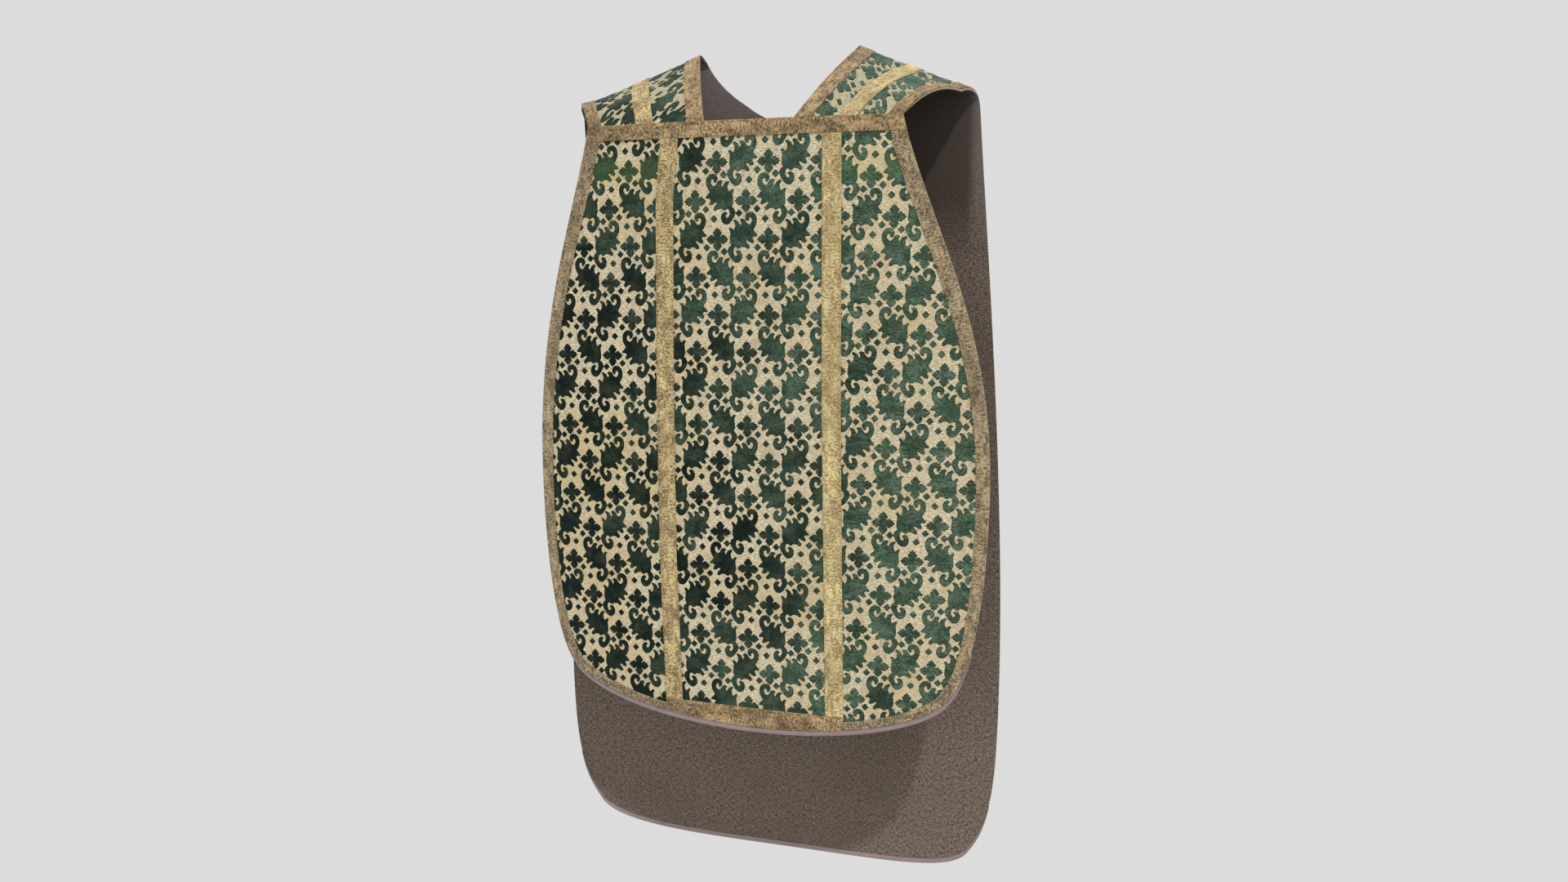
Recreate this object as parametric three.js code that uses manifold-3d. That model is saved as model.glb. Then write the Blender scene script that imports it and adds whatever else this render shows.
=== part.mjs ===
// A fiddleback chasuble: a front panel, and a back panel cut in one with the two shoulder straps, which
// come over the shoulders and are sewn to the top of the front. Each is built up in layers from the
// outside in: galloon (the woven gold trim), voided velvet, canvas interlining and linen lining.
//
// Millimetres, +Z up, -Y towards the front, +X to the viewer's right when the front is faced, and
// "left" is the viewer's left. The origin lies midway between the shoulder tops, where a hanger bears.
// Every surface below is the outermost face, the galloon's, and a layer lies at its depth under it.

import * as THREE from "three";
import { mergeVertices } from "three/addons/utils/BufferGeometryUtils.js";
import Module from "manifold-3d";

const wasm = await Module();
wasm.setup();

// ---------------------------------------------------------------- driving dimensions

const gap = 0.3; // between neighbouring layers, and between pieces that butt
const thickness = { galloon: 1.2, velvet: 1.2, interlining: 0.8, lining: 0.8 };

const seamLevel = -72; // top of the front panel, where the straps are sewn to it
const garmentDepth = 150; // outer face of the front to outer face of the back, on the centre line
const backFaceY = 10; // outer face of the back on the centre line, behind the hanger

// Front panel
const frontLength = 790; // seam to hem
const frontHalfWidth = 303; // at the widest level
const frontWidestDrop = 452; // seam to the widest level
const chestHalf = { left: 217, right: 190 }; // half widths at the seam
const frontCurl = 15; // how far back the side edges curl, from a flat middle

// Back panel
const backLength = 1031; // seam level to hem
const backHalfWidth = 315; // at the widest level
const backWidestDrop = 739; // seam level to the widest level
const backCurl = 38; // how far forward the side edges curl

// Shoulder straps and neck
const neckHalfAtSeam = 58;
const neckHalfAtRidge = 117;
const neckApex = 48; // height of the fold line at the neck, before the fold is rounded
const neckHalfBehind = 97; // half width of the neckline where the fold ends, on the back
const neckDip = -59; // lowest point of the neckline, on the back
const shoulderHalf = { left: 285, right: 265 }; // half widths at the fold
const shoulderHalfBehind = { left: 273, right: 268 }; // half widths where the fold ends, on the back
const shoulderApex = -19; // height of the fold line at the shoulder, before the fold is rounded
const foldSetback = 36; // length of cloth on each side that the rounded fold takes
const strapBulge = { neck: 4, shoulder: 14 }; // how far the strap stands off a straight line

// Galloon widths and places
const columnWidth = 24; // the upright bands that frame the centre column
const columnLine = {
  // the front bands' centre lines: drop below the seam, and distance from the panel's centre line
  left: [[0, 102], [94, 112], [330, 115.5], [560, 115], [frontLength, 108]],
  right: [[0, 105], [350, 107], [frontLength, 114]],
};
const backColumnHalf = 112;
const columnSpread = { half: 143, level: -106, drop: 190 }; // where the back bands start to spread
const topBandWidth = 19;
const hemBandWidth = 27;
const frontSideWidth = { top: 20, hem: 10 };
const backSideWidth = { top: 20, hem: 20 };
const neckBandWidth = 22;
const strapEdgeWidth = 18;

const bindingWidth = 7; // hem binding that shows below the galloon
const bindingRise = 130; // how far up the corners the binding reaches

const seamGap = 0.4; // between the front panel's top edge and the straps
const inwardSwing = 8; // degrees that the front may swing in before its top edge would meet the straps
const smallest = 0.02; // facets finer than this are merged away

const colours = {
  galloon: new THREE.Color(0.56, 0.4, 0.19),
  velvet: new THREE.Color(0.05, 0.17, 0.11),
  interlining: new THREE.Color(0.72, 0.66, 0.53),
  lining: new THREE.Color(0.17, 0.13, 0.1),
  binding: new THREE.Color(0.38, 0.28, 0.29),
};

// ---------------------------------------------------------------- layers and levels

const depthOf = {};
let depthSoFar = 0;
for (const layer of ["galloon", "velvet", "interlining", "lining"]) {
  depthOf[layer] = { from: depthSoFar, to: depthSoFar + thickness[layer] };
  depthSoFar += thickness[layer] + gap;
}
depthOf.binding = { from: depthOf.velvet.from, to: depthOf.lining.to };

const frontFaceY = backFaceY - garmentDepth;
const frontHem = seamLevel - frontLength;
const backHem = seamLevel - backLength;
const signs = { left: -1, right: 1 };
const far = 2 * backHalfWidth; // well outside the garment
const reach = 2 * garmentDepth; // well in front of it and behind it

const between = (a, b, share) => a + (b - a) * share;
const at = (x, z) => new THREE.Vector2(x, z);

// ---------------------------------------------------------------- solids

const group = new THREE.Group();

function toSolid(geometry) {
  const bare = geometry.clone();
  bare.deleteAttribute("normal");
  bare.deleteAttribute("uv");
  const merged = mergeVertices(bare, 1e-4);
  const mesh = new wasm.Mesh({
    numProp: 3,
    vertProperties: merged.attributes.position.array,
    triVerts: new Uint32Array(merged.index.array),
  });
  return new wasm.Manifold(mesh);
}

function addPiece(name, layer, solid) {
  const mesh = solid.simplify(smallest).getMesh();
  const geometry = new THREE.BufferGeometry();
  geometry.setAttribute("position", new THREE.BufferAttribute(mesh.vertProperties, 3));
  geometry.setIndex(new THREE.BufferAttribute(mesh.triVerts, 1));
  geometry.computeVertexNormals();
  const isGalloon = layer === "galloon";
  const material = new THREE.MeshStandardMaterial({
    color: colours[layer],
    roughness: isGalloon ? 0.5 : 0.9,
    metalness: isGalloon ? 0.4 : 0,
  });
  const piece = new THREE.Mesh(geometry, material);
  piece.name = name;
  group.add(piece);
}

// An outline in the X-Z plane, run right through the garment from front to back.
function throughPrism(points) {
  const shape = new THREE.Shape(points);
  const geometry = new THREE.ExtrudeGeometry(shape, { depth: 2 * reach, bevelEnabled: false });
  return toSolid(geometry.rotateX(Math.PI / 2).translate(0, reach, 0));
}

// Everything between two levels.
function levels(high, low) {
  return throughPrism([at(-far, low), at(far, low), at(far, high), at(-far, high)]);
}

// Everything between two lines that run down through the same list of levels.
function strip(lowAt, highAt, stops) {
  const down = stops.map((z) => at(lowAt(z), z));
  const up = stops.map((z) => at(highAt(z), z)).reverse();
  return throughPrism([...down, ...up]);
}

// One layer of a panel, bent as the panel is, from side to side and far past its top and bottom.
function layerSlab(layer, stations, faceAt, inward) {
  const { from, to } = depthOf[layer];
  const outer = stations.map((x) => at(x, faceAt(x) + inward * from));
  const inner = stations.map((x) => at(x, faceAt(x) + inward * to));
  const section = new THREE.Shape([...outer, ...inner.reverse()]);
  const geometry = new THREE.ExtrudeGeometry(section, { depth: 2 * backLength, bevelEnabled: false });
  return toSolid(geometry.translate(0, 0, -1.5 * backLength));
}

// Points along an edge, each moved in from it by what insetAt gives for its share of the way.
function edgePoints(curves, side, insetAt = () => 0, steps = 7) {
  const points = [];
  curves.forEach((curve, index) => {
    for (let i = index ? 1 : 0; i <= steps; i++) {
      const point = curve.getPoint(i / steps);
      const tangent = curve.getTangent(i / steps);
      const inset = insetAt((index + i / steps) / curves.length);
      const inward = at(tangent.y, -tangent.x).multiplyScalar(signs[side] * inset);
      points.push(point.add(inward));
    }
  });
  return points;
}

// ---------------------------------------------------------------- shoulder straps

const frontCurve = (x) => frontFaceY + frontCurl * (x / frontHalfWidth) ** 2;
const backCurve = (x) => backFaceY - backCurl * (x / backHalfWidth) ** 2;

// The ends of the line across the back where the strap's fold ends, neck first.
function foldEnd(side) {
  const sign = signs[side];
  const neck = at(sign * neckHalfBehind, neckApex - foldSetback);
  const shoulder = at(sign * shoulderHalfBehind[side], shoulderApex - foldSetback);
  return { neck, shoulder };
}

// The strap's outer face. across runs from 0 at the neck to 1 at the shoulder edge; along runs from 0 at
// the seam to 1 where the fold begins and 2 where it ends, and past 2 it goes straight down the back.
function strapFace(side, across, along) {
  const sign = signs[side];
  const seamX = sign * between(neckHalfAtSeam, chestHalf[side], across);
  const seam = new THREE.Vector3(seamX, frontCurve(seamX), seamLevel);
  const { neck, shoulder } = foldEnd(side);
  const endX = between(neck.x, shoulder.x, across);
  const end = new THREE.Vector3(endX, backCurve(endX), between(neck.y, shoulder.y, across));
  if (along > 2) {
    return end.add(new THREE.Vector3(0, 0, (2 - along) * foldSetback));
  }
  const ridgeX = sign * between(neckHalfAtRidge, shoulderHalf[side], across);
  const ridge = new THREE.Vector3(ridgeX, backCurve(endX), between(neckApex, shoulderApex, across));
  const foldStart = ridge.clone().add(seam.clone().sub(ridge).setLength(foldSetback));
  if (along > 1) {
    return new THREE.QuadraticBezierCurve3(foldStart, ridge, end).getPoint(along - 1);
  }
  const bulge = between(strapBulge.neck, strapBulge.shoulder, across) * 4 * along * (1 - along);
  const rise = foldStart.clone().sub(seam);
  const outward = new THREE.Vector3(0, -rise.z, rise.y).normalize();
  return seam.clone().add(rise.multiplyScalar(along)).add(outward.multiplyScalar(bulge));
}

function strapPoint(side, across, along, depth) {
  const step = 0.01;
  const ahead = strapFace(side, across, along + step);
  const behind = strapFace(side, across, Math.max(0, along - step));
  const course = ahead.sub(behind);
  const outward = new THREE.Vector3(0, -course.z, course.y).normalize();
  return strapFace(side, across, along).add(outward.multiplyScalar(-depth));
}

// The shares across a strap that its bands' edges take at one station, and its middle line.
function strapLines(side, along) {
  const width = strapFace(side, 1, along).distanceTo(strapFace(side, 0, along));
  const band = columnWidth / 2 / width;
  return [0, neckBandWidth / width, 0.5 - band, 0.5, 0.5 + band, 1 - strapEdgeWidth / width, 1];
}

const strapStops = [0.25, 0.5, 0.75, 1, 1.2, 1.4, 1.6, 1.8, 2, 2.03];

// Where a layer of the strap begins at one share across: the first place where its whole depth stays
// clear of the front panel's top edge, as it hangs and as it swings in.
function strapStart(side, across, depth) {
  const lift = Math.tan(THREE.MathUtils.degToRad(inwardSwing));
  const isClear = (along) => {
    const point = strapPoint(side, across, along, depth);
    return point.z > seamLevel + seamGap + lift * (point.y - frontFaceY);
  };
  const step = 0.001;
  let along = 0;
  while (along < strapStops[0] - step && !isClear(along)) {
    along += step;
  }
  return along;
}

// A closed sheet between two of the strap's lines, at one layer's depth.
function strapSheet(side, layer, firstLine, lastLine) {
  const { from, to } = depthOf[layer];
  const linesAt = (along) => strapLines(side, along).slice(firstLine, lastLine + 1);
  const start = linesAt(0).map((across) => ({ across, along: strapStart(side, across, to) }));
  const rest = strapStops.map((along) => linesAt(along).map((across) => ({ across, along })));
  return sheetSolid(side, [start, ...rest], from, to);
}

// The closed sheet over a grid of places on a strap, between two depths.
function sheetSolid(side, grid, from, to) {
  const rows = grid.length;
  const columns = grid[0].length;
  const positions = [];
  for (const depth of [from, to]) {
    for (const { across, along } of grid.flat()) {
      positions.push(...strapPoint(side, across, along, depth).toArray());
    }
  }
  const index = [];
  const corner = (face, row, column) => (face * rows + row) * columns + column;
  const quad = (a, b, c, d) => {
    const turned = side === "right" ? [a, b, c, a, c, d] : [a, c, b, a, d, c];
    index.push(...turned);
  };
  for (let row = 0; row + 1 < rows; row++) {
    for (let c = 0; c + 1 < columns; c++) {
      quad(corner(0, row, c), corner(0, row, c + 1), corner(0, row + 1, c + 1), corner(0, row + 1, c));
      quad(corner(1, row, c), corner(1, row + 1, c), corner(1, row + 1, c + 1), corner(1, row, c + 1));
    }
    const last = columns - 1;
    quad(corner(0, row, 0), corner(0, row + 1, 0), corner(1, row + 1, 0), corner(1, row, 0));
    quad(corner(0, row, last), corner(1, row, last), corner(1, row + 1, last), corner(0, row + 1, last));
  }
  const end = rows - 1;
  for (let c = 0; c + 1 < columns; c++) {
    quad(corner(0, 0, c), corner(1, 0, c), corner(1, 0, c + 1), corner(0, 0, c + 1));
    quad(corner(0, end, c), corner(0, end, c + 1), corner(1, end, c + 1), corner(1, end, c));
  }
  const geometry = new THREE.BufferGeometry();
  geometry.setAttribute("position", new THREE.Float32BufferAttribute(positions, 3));
  geometry.setIndex(index);
  return toSolid(geometry);
}

// A thin wall across all the layers that follows the strap's middle line, to part its two velvets.
function strapWall(side) {
  const grid = [0, ...strapStops].map((along) => {
    const width = strapFace(side, 1, along).distanceTo(strapFace(side, 0, along));
    return [0.5 - gap / 2 / width, 0.5 + gap / 2 / width].map((across) => ({ across, along }));
  });
  return sheetSolid(side, grid, -gap, depthOf.lining.to);
}

// ---------------------------------------------------------------- outlines of the two panels

// One half of the front's edge, from the seam round the corner to the middle of the hem.
function frontEdge(side, lift = 0) {
  const sign = signs[side];
  const widest = seamLevel - frontWidestDrop;
  const hem = frontHem + lift;
  const start = at(sign * chestHalf[side], seamLevel);
  const swell = at(sign * (chestHalf[side] + 31), seamLevel - 0.28 * frontWidestDrop);
  const bout = at(sign * frontHalfWidth, widest + 0.46 * frontWidestDrop);
  const side1 = at(sign * frontHalfWidth, widest);
  const side2 = at(sign * frontHalfWidth, widest - 112);
  const turn = at(sign * (frontHalfWidth - 10), hem + 104);
  const corner = at(sign * (frontHalfWidth - 41), hem + 66);
  const below = at(sign * (frontHalfWidth - 63), hem + 28);
  return [
    new THREE.CubicBezierCurve(start, swell, bout, side1),
    new THREE.CubicBezierCurve(side1, side2, turn, corner),
    new THREE.CubicBezierCurve(corner, below, at(sign * 130, hem), at(0, hem)),
  ];
}

// One half of the back's edge, from where the fold ends round the corner to the middle of the hem.
function backEdge(side, lift = 0) {
  const sign = signs[side];
  const widest = seamLevel - backWidestDrop;
  const hem = backHem + lift;
  const start = foldEnd(side).shoulder;
  const half = Math.abs(start.x);
  const under = at(sign * between(half, backHalfWidth, 0.3), start.y - 175);
  const bout = at(sign * backHalfWidth, widest + 270);
  const side1 = at(sign * backHalfWidth, widest);
  const side2 = at(sign * backHalfWidth, widest - 130);
  const turn = at(sign * (backHalfWidth - 4), hem + 98);
  const corner = at(sign * (backHalfWidth - 35), hem + 53);
  const below = at(sign * (backHalfWidth - 53), hem + 14);
  return [
    new THREE.CubicBezierCurve(start, under, bout, side1),
    new THREE.CubicBezierCurve(side1, side2, turn, corner),
    new THREE.CubicBezierCurve(corner, below, at(sign * 160, hem), at(0, hem)),
  ];
}

// One half of the back neckline, from where the fold ends down to the middle.
function neckEdge(side) {
  const sign = signs[side];
  const start = foldEnd(side).neck;
  const rise = start.y - neckDip;
  const high = at(sign * 0.82 * neckHalfBehind, neckDip + 0.62 * rise);
  const low = at(sign * 0.4 * neckHalfBehind, neckDip + 0.18 * rise);
  return [new THREE.CubicBezierCurve(start, high, low, at(0, neckDip))];
}

function frontOutline(lift) {
  const right = edgePoints(frontEdge("right", lift), "right");
  const left = edgePoints(frontEdge("left", lift), "left").reverse();
  return throughPrism([...right, ...left.slice(1)]);
}

function backOutline(lift) {
  const right = edgePoints(backEdge("right", lift), "right");
  const left = edgePoints(backEdge("left", lift), "left").reverse();
  const neckLeft = edgePoints(neckEdge("left"), "left");
  const neckRight = edgePoints(neckEdge("right"), "right").reverse();
  return throughPrism([...right, ...left.slice(1), ...neckLeft, ...neckRight.slice(1)]);
}

// ---------------------------------------------------------------- what the two panels share

// The half width of the column at a level, on one side.
function frontColumnAt(side, z) {
  const line = columnLine[side];
  const drop = seamLevel - z;
  const next = line.findIndex((place, i) => i > 0 && (drop <= place[0] || i === line.length - 1));
  const [[fromDrop, from], [toDrop, to]] = [line[next - 1], line[next]];
  return between(from, to, (drop - fromDrop) / (toDrop - fromDrop));
}

function backColumnAt(side, z) {
  const { half, level, drop } = columnSpread;
  if (z > level) {
    const { neck, shoulder } = foldEnd(side);
    const middle = Math.abs(between(neck.x, shoulder.x, 0.5));
    const middleLevel = between(neck.y, shoulder.y, 0.5);
    return between(half, middle, (z - level) / (middleLevel - level));
  }
  return between(half, backColumnHalf, Math.min(1, (level - z) / drop));
}

// Levels at which a front band's centre line bends, on either side, from the top down.
const columnBends = [...columnLine.left, ...columnLine.right]
  .map(([drop]) => seamLevel - drop)
  .filter((z, i, all) => z < seamLevel && z > frontHem && all.indexOf(z) === i)
  .sort((a, b) => b - a);

const front = {
  name: "front",
  hem: frontHem,
  edge: frontEdge,
  outline: frontOutline,
  columnAt: frontColumnAt,
  stops: [seamLevel + 20, ...columnBends, frontHem - 60],
  sideWidth: frontSideWidth,
  trimTop: seamLevel - topBandWidth - gap,
};

const back = {
  name: "back",
  hem: backHem,
  edge: backEdge,
  outline: backOutline,
  columnAt: backColumnAt,
  stops: [20, columnSpread.level, columnSpread.level - columnSpread.drop, backHem - 60],
  sideWidth: backSideWidth,
  trimTop: seamLevel + reach,
};

front.slab = (layer) => {
  const bends = [0.17, 0.37, 0.54, 0.71, 0.86, 1.05].map((share) => share * frontHalfWidth);
  const stations = [...bends.map((x) => -x).reverse(), ...bends];
  return layerSlab(layer, stations, frontCurve, 1);
};

// The back bends where the straps' lines meet it, so that straps and panel run into each other.
function backStations(side) {
  const { neck, shoulder } = foldEnd(side);
  const shares = strapLines(side, 2);
  const inner = shares.map((share) => between(neck.x, shoulder.x, share));
  return [...inner, signs[side] * (backHalfWidth + 15)];
}
back.slab = (layer) => {
  const stations = [...backStations("left").reverse(), ...backStations("right")];
  return layerSlab(layer, stations, backCurve, -1);
};

// A band that follows one side edge, from its top down to the middle of the hem.
function edgeBand(panel, side) {
  const width = (share) => between(panel.sideWidth.top, panel.sideWidth.hem, share);
  const outer = edgePoints(panel.edge(side, -20), side, () => -30);
  const inner = edgePoints(panel.edge(side, bindingWidth), side, width).reverse();
  const above = at(0, 2 * panel.sideWidth.top);
  const start = outer[0].clone().add(above);
  const end = inner[inner.length - 1].clone().add(above);
  return throughPrism([start, ...outer, at(0, panel.hem - 90), ...inner, end]);
}

// The part of a panel that lies beyond one column line, moved outwards by an offset.
function beyond(panel, side, offset) {
  const sign = signs[side];
  const line = (z) => sign * (panel.columnAt(side, z) + offset);
  return strip(line, () => sign * far, panel.stops);
}

function columnBand(panel, side) {
  const sign = signs[side];
  const inner = (z) => sign * (panel.columnAt(side, z) - columnWidth / 2);
  const outer = (z) => sign * (panel.columnAt(side, z) + columnWidth / 2);
  return strip(inner, outer, panel.stops);
}

// The galloon and the hem binding of a panel. With straps, the bands run on over the shoulders.
function addTrim(panel, hasStraps) {
  const trim = panel.outline(bindingWidth + gap).intersect(panel.slab("galloon"));
  const hemBandTop = panel.hem + bindingWidth + hemBandWidth;
  const shaft = levels(panel.trimTop, hemBandTop + gap);
  for (const side of ["left", "right"]) {
    const beside = beyond(panel, side, columnWidth / 2 + gap).intersect(levels(panel.trimTop, -far * 2));
    let edge = trim.intersect(edgeBand(panel, side)).intersect(beside);
    let column = trim.intersect(columnBand(panel, side)).intersect(shaft);
    if (hasStraps) {
      edge = edge.add(strapSheet(side, "galloon", 5, 6));
      column = column.add(strapSheet(side, "galloon", 2, 4));
    }
    addPiece(`${panel.name}_${side}_side_galloon`, "galloon", edge);
    addPiece(`${panel.name}_${side}_column_galloon`, "galloon", column);
  }
  const inside = trim.intersect(levels(hemBandTop, panel.hem - 50));
  const foot = ["left", "right"].reduce(
    (left, side) => left.subtract(beyond(panel, side, columnWidth / 2)),
    inside,
  );
  addPiece(`${panel.name}_hem_galloon`, "galloon", foot);
  const rim = panel.outline(0).subtract(panel.outline(bindingWidth));
  const low = levels(panel.hem + bindingRise, panel.hem - 50);
  addPiece(`${panel.name}_hem_binding`, "binding", rim.intersect(panel.slab("binding")).intersect(low));
}

// ---------------------------------------------------------------- front panel

function addFront() {
  const body = front.outline(bindingWidth + gap);
  addPiece("front_interlining", "interlining", body.intersect(front.slab("interlining")));
  addPiece("front_lining", "lining", body.intersect(front.slab("lining")));
  const cloth = body.intersect(front.slab("velvet"));
  const left = cloth.intersect(beyond(front, "left", gap / 2));
  const right = cloth.intersect(beyond(front, "right", gap / 2));
  const middle = cloth
    .subtract(beyond(front, "left", -gap / 2))
    .subtract(beyond(front, "right", -gap / 2));
  addPiece("front_left_velvet", "velvet", left);
  addPiece("front_right_velvet", "velvet", right);
  addPiece("front_centre_velvet", "velvet", middle);
  const band = levels(seamLevel + 20, seamLevel - topBandWidth);
  const trim = front.outline(0).intersect(front.slab("galloon"));
  addPiece("front_top_galloon", "galloon", trim.intersect(band));
  addTrim(front, false);
}

// ---------------------------------------------------------------- back panel and straps

// A whole layer of the back, straps included.
function backLayer(layer) {
  const panel = back.outline(bindingWidth + gap).intersect(back.slab(layer));
  return panel.add(strapSheet("left", layer, 0, 6)).add(strapSheet("right", layer, 0, 6));
}

function addBack() {
  addPiece("back_interlining", "interlining", backLayer("interlining"));
  addPiece("back_lining", "lining", backLayer("lining"));
  let cloth = backLayer("velvet");
  for (const side of ["left", "right"]) {
    const sign = signs[side];
    const edge = (offset) => (z) => sign * (backColumnAt(side, z) + offset);
    const meeting = between(foldEnd(side).neck.y, foldEnd(side).shoulder.y, 0.5) + gap;
    const stops = [meeting, ...back.stops.slice(1)];
    cloth = cloth.subtract(strapWall(side)).subtract(strip(edge(-gap / 2), edge(gap / 2), stops));
  }
  const names = ["back_left_velvet", "back_centre_velvet", "back_right_velvet"];
  const middleOf = (solid) => {
    const box = solid.boundingBox();
    return (box.min[0] + box.max[0]) / 2;
  };
  const parts = cloth.decompose().sort((a, b) => middleOf(a) - middleOf(b));
  parts.forEach((part, i) => addPiece(names[i] ?? `back_scrap_${i}`, "velvet", part));

  addTrim(back, true);

  const trim = back.outline(0).intersect(back.slab("galloon"));
  const under = ["left", "right"].map((side) => edgePoints(neckEdge(side), side, () => -neckBandWidth));
  const [left, right] = under;
  const above = [at(right[0].x, -neckDip), at(left[0].x, -neckDip)];
  const collar = throughPrism([...left, ...right.reverse(), ...above]);
  const band = trim
    .intersect(collar)
    .add(strapSheet("left", "galloon", 0, 1))
    .add(strapSheet("right", "galloon", 0, 1));
  addPiece("back_neck_galloon", "galloon", band);
}

addFront();
addBack();

export default group;
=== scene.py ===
import math

import bmesh
import bpy
import numpy as np
from mathutils import Matrix, Vector
from mathutils.geometry import delaunay_2d_cdt


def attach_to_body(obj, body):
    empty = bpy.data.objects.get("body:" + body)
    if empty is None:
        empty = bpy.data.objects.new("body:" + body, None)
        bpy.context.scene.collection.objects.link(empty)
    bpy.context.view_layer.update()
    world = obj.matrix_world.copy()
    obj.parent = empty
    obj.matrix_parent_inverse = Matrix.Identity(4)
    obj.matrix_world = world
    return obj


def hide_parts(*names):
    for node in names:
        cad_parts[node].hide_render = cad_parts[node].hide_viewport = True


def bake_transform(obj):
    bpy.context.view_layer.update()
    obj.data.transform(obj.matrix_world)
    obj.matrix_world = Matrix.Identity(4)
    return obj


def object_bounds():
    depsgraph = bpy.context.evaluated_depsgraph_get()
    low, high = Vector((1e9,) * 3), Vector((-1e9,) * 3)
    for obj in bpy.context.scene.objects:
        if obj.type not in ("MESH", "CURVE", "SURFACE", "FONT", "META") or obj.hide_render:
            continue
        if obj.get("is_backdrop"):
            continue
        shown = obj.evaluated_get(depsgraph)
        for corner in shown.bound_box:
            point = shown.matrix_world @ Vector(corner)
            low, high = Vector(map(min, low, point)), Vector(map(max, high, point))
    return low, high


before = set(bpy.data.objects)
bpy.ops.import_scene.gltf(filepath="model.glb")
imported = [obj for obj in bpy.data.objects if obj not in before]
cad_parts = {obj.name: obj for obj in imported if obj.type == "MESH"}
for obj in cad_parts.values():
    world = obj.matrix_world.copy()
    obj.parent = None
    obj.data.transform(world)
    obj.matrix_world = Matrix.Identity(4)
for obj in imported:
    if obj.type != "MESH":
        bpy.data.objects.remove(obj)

cad_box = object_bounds()
scene = bpy.context.scene

# ---------------------------------------------------------------- camera, light and floor

# Metres, degrees and linear colours.
CAMERA_PLACE = (0.4169, -1.4174, -0.2607)
CAMERA_HEADING = 16.175
CAMERA_TILT = 8.82
CAMERA_LENS = 24.45
CAMERA_SENSOR = 36
SURROUND = (0.72, 0.72, 0.72, 1)
TOWARDS_LAMP = (0.320, -0.442, 0.838)
LAMP_SPREAD = 2.5
LAMP_STRENGTH = 1.9
LAMP_COLOUR = (1.0, 0.98, 0.95)
FLOOR_LEVEL = -3.2
FLOOR_REACH = 40.0
FLOOR_COLOUR = (0.585, 0.588, 0.595, 1)


def place_camera():
    """The camera stands to the right of the chasuble, level with its chest, and looks slightly down."""
    data = bpy.data.cameras.new("camera")
    data.sensor_width = CAMERA_SENSOR
    data.lens = CAMERA_LENS
    camera = bpy.data.objects.new("camera", data)
    scene.collection.objects.link(camera)
    heading = math.radians(CAMERA_HEADING)
    tilt = math.radians(CAMERA_TILT)
    forward = Vector((
        -math.sin(heading) * math.cos(tilt),
        math.cos(heading) * math.cos(tilt),
        -math.sin(tilt),
    ))
    right = Vector((math.cos(heading), math.sin(heading), 0))
    turn = Matrix((right, right.cross(forward), -forward)).transposed().to_4x4()
    turn.translation = Vector(CAMERA_PLACE)
    camera.matrix_world = turn
    scene.camera = camera


def light_studio():
    """One soft lamp high in front, a little to the right, and an even pale surround."""
    world = bpy.data.worlds.new("pale surround")
    scene.world = world
    world.use_nodes = True
    background = world.node_tree.nodes["Background"]
    background.inputs["Color"].default_value = SURROUND
    background.inputs["Strength"].default_value = 1.0
    data = bpy.data.lights.new("key lamp", "SUN")
    data.angle = math.radians(LAMP_SPREAD)
    data.energy = LAMP_STRENGTH
    data.color = LAMP_COLOUR
    lamp = bpy.data.objects.new("key lamp", data)
    scene.collection.objects.link(lamp)
    towards_lamp = Vector(TOWARDS_LAMP)
    lamp.location = towards_lamp * 4
    lamp.rotation_euler = towards_lamp.to_track_quat("Z", "Y").to_euler()
    scene.view_settings.view_transform = "Standard"


def lay_floor():
    """A plain pale floor, well below the hem because the chasuble hangs."""
    mesh = bpy.data.meshes.new("floor")
    turns = ((-1, -1), (1, -1), (1, 1), (-1, 1))
    mesh.from_pydata([(x * FLOOR_REACH, y * FLOOR_REACH, FLOOR_LEVEL) for x, y in turns], [], [(0, 1, 2, 3)])
    floor = bpy.data.objects.new("floor", mesh)
    scene.collection.objects.link(floor)
    material = bpy.data.materials.new("pale floor")
    material.use_nodes = True
    shader = material.node_tree.nodes["Principled BSDF"]
    shader.inputs["Base Color"].default_value = FLOOR_COLOUR
    shader.inputs["Roughness"].default_value = 1.0
    shader.inputs["Specular IOR Level"].default_value = 0.0
    mesh.materials.append(material)
    floor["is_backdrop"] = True


# ---------------------------------------------------------------- sizes, in millimetres

MM = 0.001
SIGN = {"left": -1, "right": 1}
SIDES = ("left", "right")

SEAM_LEVEL = -72
FRONT_FACE = -140
BACK_FACE = 10

FRONT_LENGTH = 790
FRONT_HALF = 303
FRONT_WIDEST_DROP = 452
CHEST_HALF = {"left": 217, "right": 190}
FRONT_CURL = 15

BACK_LENGTH = 1031
BACK_HALF = 315
BACK_WIDEST_DROP = 739
BACK_CURL = 38

NECK_HALF_AT_SEAM = 58
NECK_HALF_AT_RIDGE = 117
NECK_APEX = 48
NECK_HALF_BEHIND = 97
NECK_DIP = -59
SHOULDER_HALF = {"left": 285, "right": 265}
SHOULDER_HALF_BEHIND = {"left": 273, "right": 268}
SHOULDER_APEX = -19
FOLD_SETBACK = 36
STRAP_BULGE = {"neck": 4, "shoulder": 14}

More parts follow.
